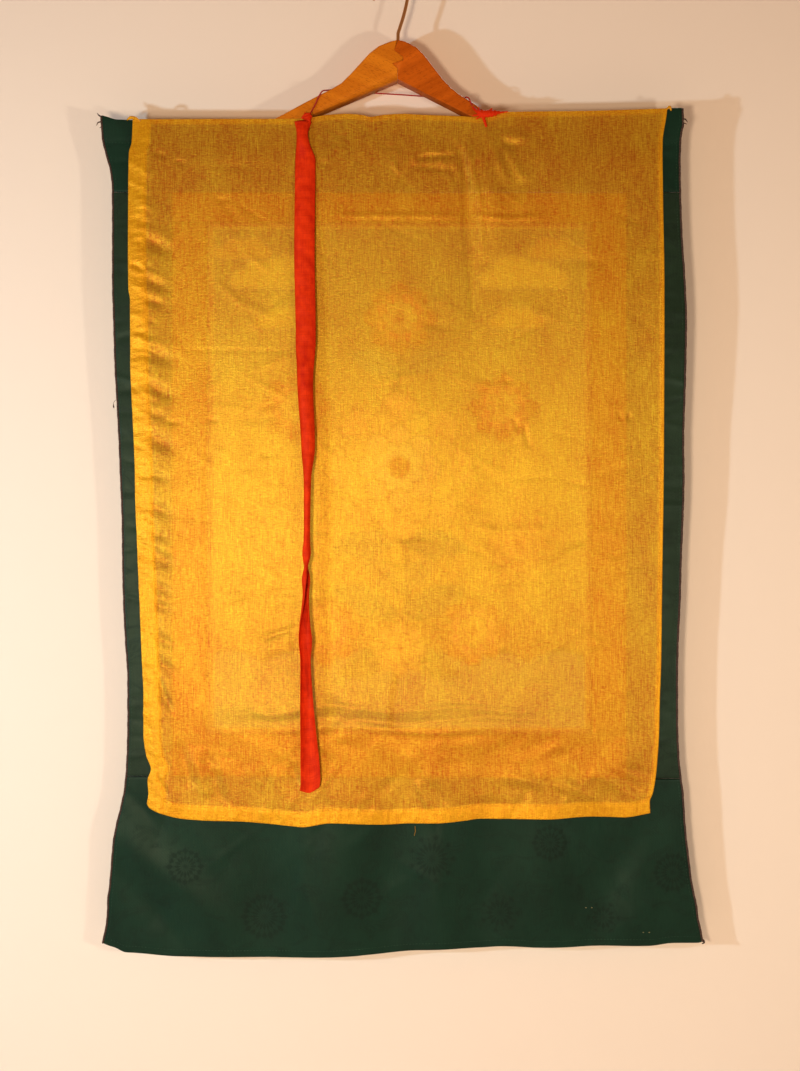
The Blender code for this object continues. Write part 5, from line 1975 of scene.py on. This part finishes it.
@dataclass
class Stitching:
    """Short straight stitches along lines of the cloth."""

    name: str
    slot: Slot
    finish: Finish
    surface: Callable[[Array, Array], Array]
    lines: Sequence[tuple[Array, Array]]
    spacing: float = 3.2
    length: float = 2.0
    radius: float = 0.16
    proud: float = 0.12
    sunk: float = 0.3
    ring_share: float = 0.3

    def build(self) -> None:
        """Lays a stitch at each step along every line."""
        corners: list[Array] = []
        faces: list[tuple[int, ...]] = []
        for across, drop in self.lines:
            steps = passed(np.stack((across, drop), axis=-1))
            for middle in np.arange(self.spacing, steps[-1], self.spacing):
                ends = middle + np.array((-0.5, 0.0, 0.5)) * self.length
                faces += self.stitch_faces(len(corners))
                corners += self.stitch_corners(np.interp(ends, steps, across), np.interp(ends, steps, drop))
        piece = new_piece(self.name, place(*np.array(corners).T), faces, [self.finish.material()])
        faces_out(piece)
        settle(piece, self.slot)

    def stitch_corners(self, across: Array, drop: Array) -> list[Array]:
        """The corners of one spindle-shaped stitch: a tip, two rings of four, and a tip.

        Args:
            across: Across of the stitch's start, middle and end.
            drop: Drop of the same.

        Returns:
            The ten corners, in millimetres.
        """
        front = self.surface(across, drop) + self.proud - (self.sunk, 0.0, self.sunk)
        start, middle, end = np.stack((across, drop, front), axis=-1)
        run = np.array((across[2] - across[0], drop[2] - drop[0], 0.0))
        run /= np.linalg.norm(run)
        side = np.array((-run[1], run[0], 0.0)) * self.radius
        over = np.array((0.0, 0.0, self.radius))
        centres = [middle + run * along * self.length for along in (-self.ring_share, self.ring_share)]
        return [start, *(centre + way for centre in centres for way in (side, over, -side, -over)), end]

    @staticmethod
    def stitch_faces(first: int) -> list[tuple[int, ...]]:
        """The faces of one stitch whose corners count from the first."""
        ring, other, last = first + 1, first + 5, first + 9
        faces: list[tuple[int, ...]] = []
        for i, after in ((0, 1), (1, 2), (2, 3), (3, 0)):
            faces.append((first, ring + after, ring + i))
            faces.append((ring + i, ring + after, other + after, other + i))
            faces.append((last, other + i, other + after))
        return faces


def hem_lines() -> tuple[tuple[Array, Array], ...]:
    """The veil's stitch lines: inside its left, bottom and right hems and under its top edge."""
    down = np.linspace(156.0, 838.0, 400)
    over = np.linspace(-226.0, 256.0, 300)
    top = np.linspace(-250.0, 270.0, 300)
    return (
        (VEIL_LEFT_EDGE(down) + CLOTH.left_hem - 0.9, down),
        (VEIL_RIGHT_EDGE(down) - CLOTH.right_hem + 0.8, down),
        (over, VEIL_BOTTOM_RIM(over) - CLOTH.bottom_hem + 0.9),
        (top, VEIL_TOP_RIM(top) + CLOTH.top_hem - 0.8),
    )


def seam_lines() -> tuple[tuple[Array, Array], ...]:
    """The mount's stitch lines that show: inside the edge cords, under the heading and along the foot."""
    beside, up = 4.6, 7.0
    down_left = np.linspace(150.0, 972.0, 500)
    down_right = np.linspace(144.0, 970.0, 500)
    over = np.linspace(-284.0, 288.0, 300)
    low = np.linspace(-282.0, 308.0, 300)
    return (
        (MOUNT_LEFT_EDGE(down_left) + beside, down_left),
        (MOUNT_RIGHT_EDGE(down_right) - beside, down_right),
        (over, np.full(len(over), HEADING_STITCH)),
        (low, MOUNT_BOTTOM_RIM(low) - up),
    )


REPAIR_LINES = (
    (np.array((190.6, 204.6)), np.array((940.0, 940.5))),
    (np.array((247.4, 261.4)), np.array((963.8, 963.8))),
)


@dataclass
class LooseThreads:
    """Thin ends of thread and cloth that stick out of the edges."""

    name: str
    slot: Slot
    finish: Finish
    threads: Sequence[Rows]

    def build(self) -> None:
        """Builds them all as one piece."""
        paths = [smooth_path(thread, samples=16) for thread in self.threads]
        shapes = [swept(path[:, :3], path[:, 3], path[:, 3], sides=8) for path in paths]
        settle(round_piece(self.name, self.finish.material(), shapes), self.slot)


FRAYED_ENDS = LooseThreads(
    "frayed_ends",
    Slot.DARK_CORD,
    DARK_CORD,
    (
        ((-288.5, 147.5, 12, 0.9), (-291.5, 146, 13.2, 0.7), (-293, 144.2, 13.8, 0.3)),
        ((-289, 152, 12, 0.8), (-292.6, 153.2, 12.6, 0.6), (-294, 156, 12.6, 0.25)),
        ((-288, 156, 12.2, 0.6), (-290.5, 158.5, 13, 0.3)),
        ((293, 149, 12, 0.9), (296, 150, 12.6, 0.7), (298, 152.6, 12.4, 0.3)),
        ((293.6, 153, 12, 0.7), (297, 154.4, 12.2, 0.3)),
        ((314, 972.6, 12, 1.2), (314.8, 974.6, 12, 0.9), (313, 975.8, 12, 0.5)),
        (
            (-275, 431, 12.5, 0.2), (-277, 434.5, 12.8, 0.2), (-276.9, 437.6, 12.6, 0.7),
            (-276.6, 438.8, 12.6, 0.4),
        ),
    ),
)
GOLD_ENDS = LooseThreads(
    "gold_ends",
    Slot.GOLD_VEIL,
    VEIL_THREAD,
    (
        ((25, 857.5, 15, 0.16), (25.3, 862, 15.2, 0.16), (24.4, 867, 15, 0.12)),
        (
            (-263, 150.6, 13.6, 0.7), (-259, 148.8, 15, 1.6), (-254.5, 149.4, 15.2, 1.5),
            (-250, 152.5, 14.4, 0.5),
        ),
        ((276.5, 140.6, 14, 0.8), (279.8, 137.8, 14.2, 1.4), (281.2, 140.8, 14, 1)),
    ),
)


def main() -> None:
    """Builds the scroll painting over its CAD frame."""
    logging.basicConfig(level=logging.INFO, format="%(message)s")
    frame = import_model()
    mount_front, green = CLOTH.mount_front, Slot.GREEN_DAMASK
    for part in (
        Studio(),
        HangingCord(),
        Hanger(frame["nodes"]),
        Mount(),
        Veil(),
        KNOT_LEFT,
        KNOT_RIGHT,
        Ribbon(),
        Stitching("veil_stitches", Slot.GOLD_VEIL, VEIL_THREAD, CLOTH.veil, hem_lines()),
        Stitching("mount_stitches", green, GREEN_THREAD, mount_front, seam_lines()),
        Stitching(
            "pale_stitches", green, PALE_THREAD, mount_front, REPAIR_LINES,
            spacing=6.0, length=1.6, radius=0.45,
        ),
        FRAYED_ENDS,
        GOLD_ENDS,
    ):
        part.build()


if __name__ == "__main__":
    main()
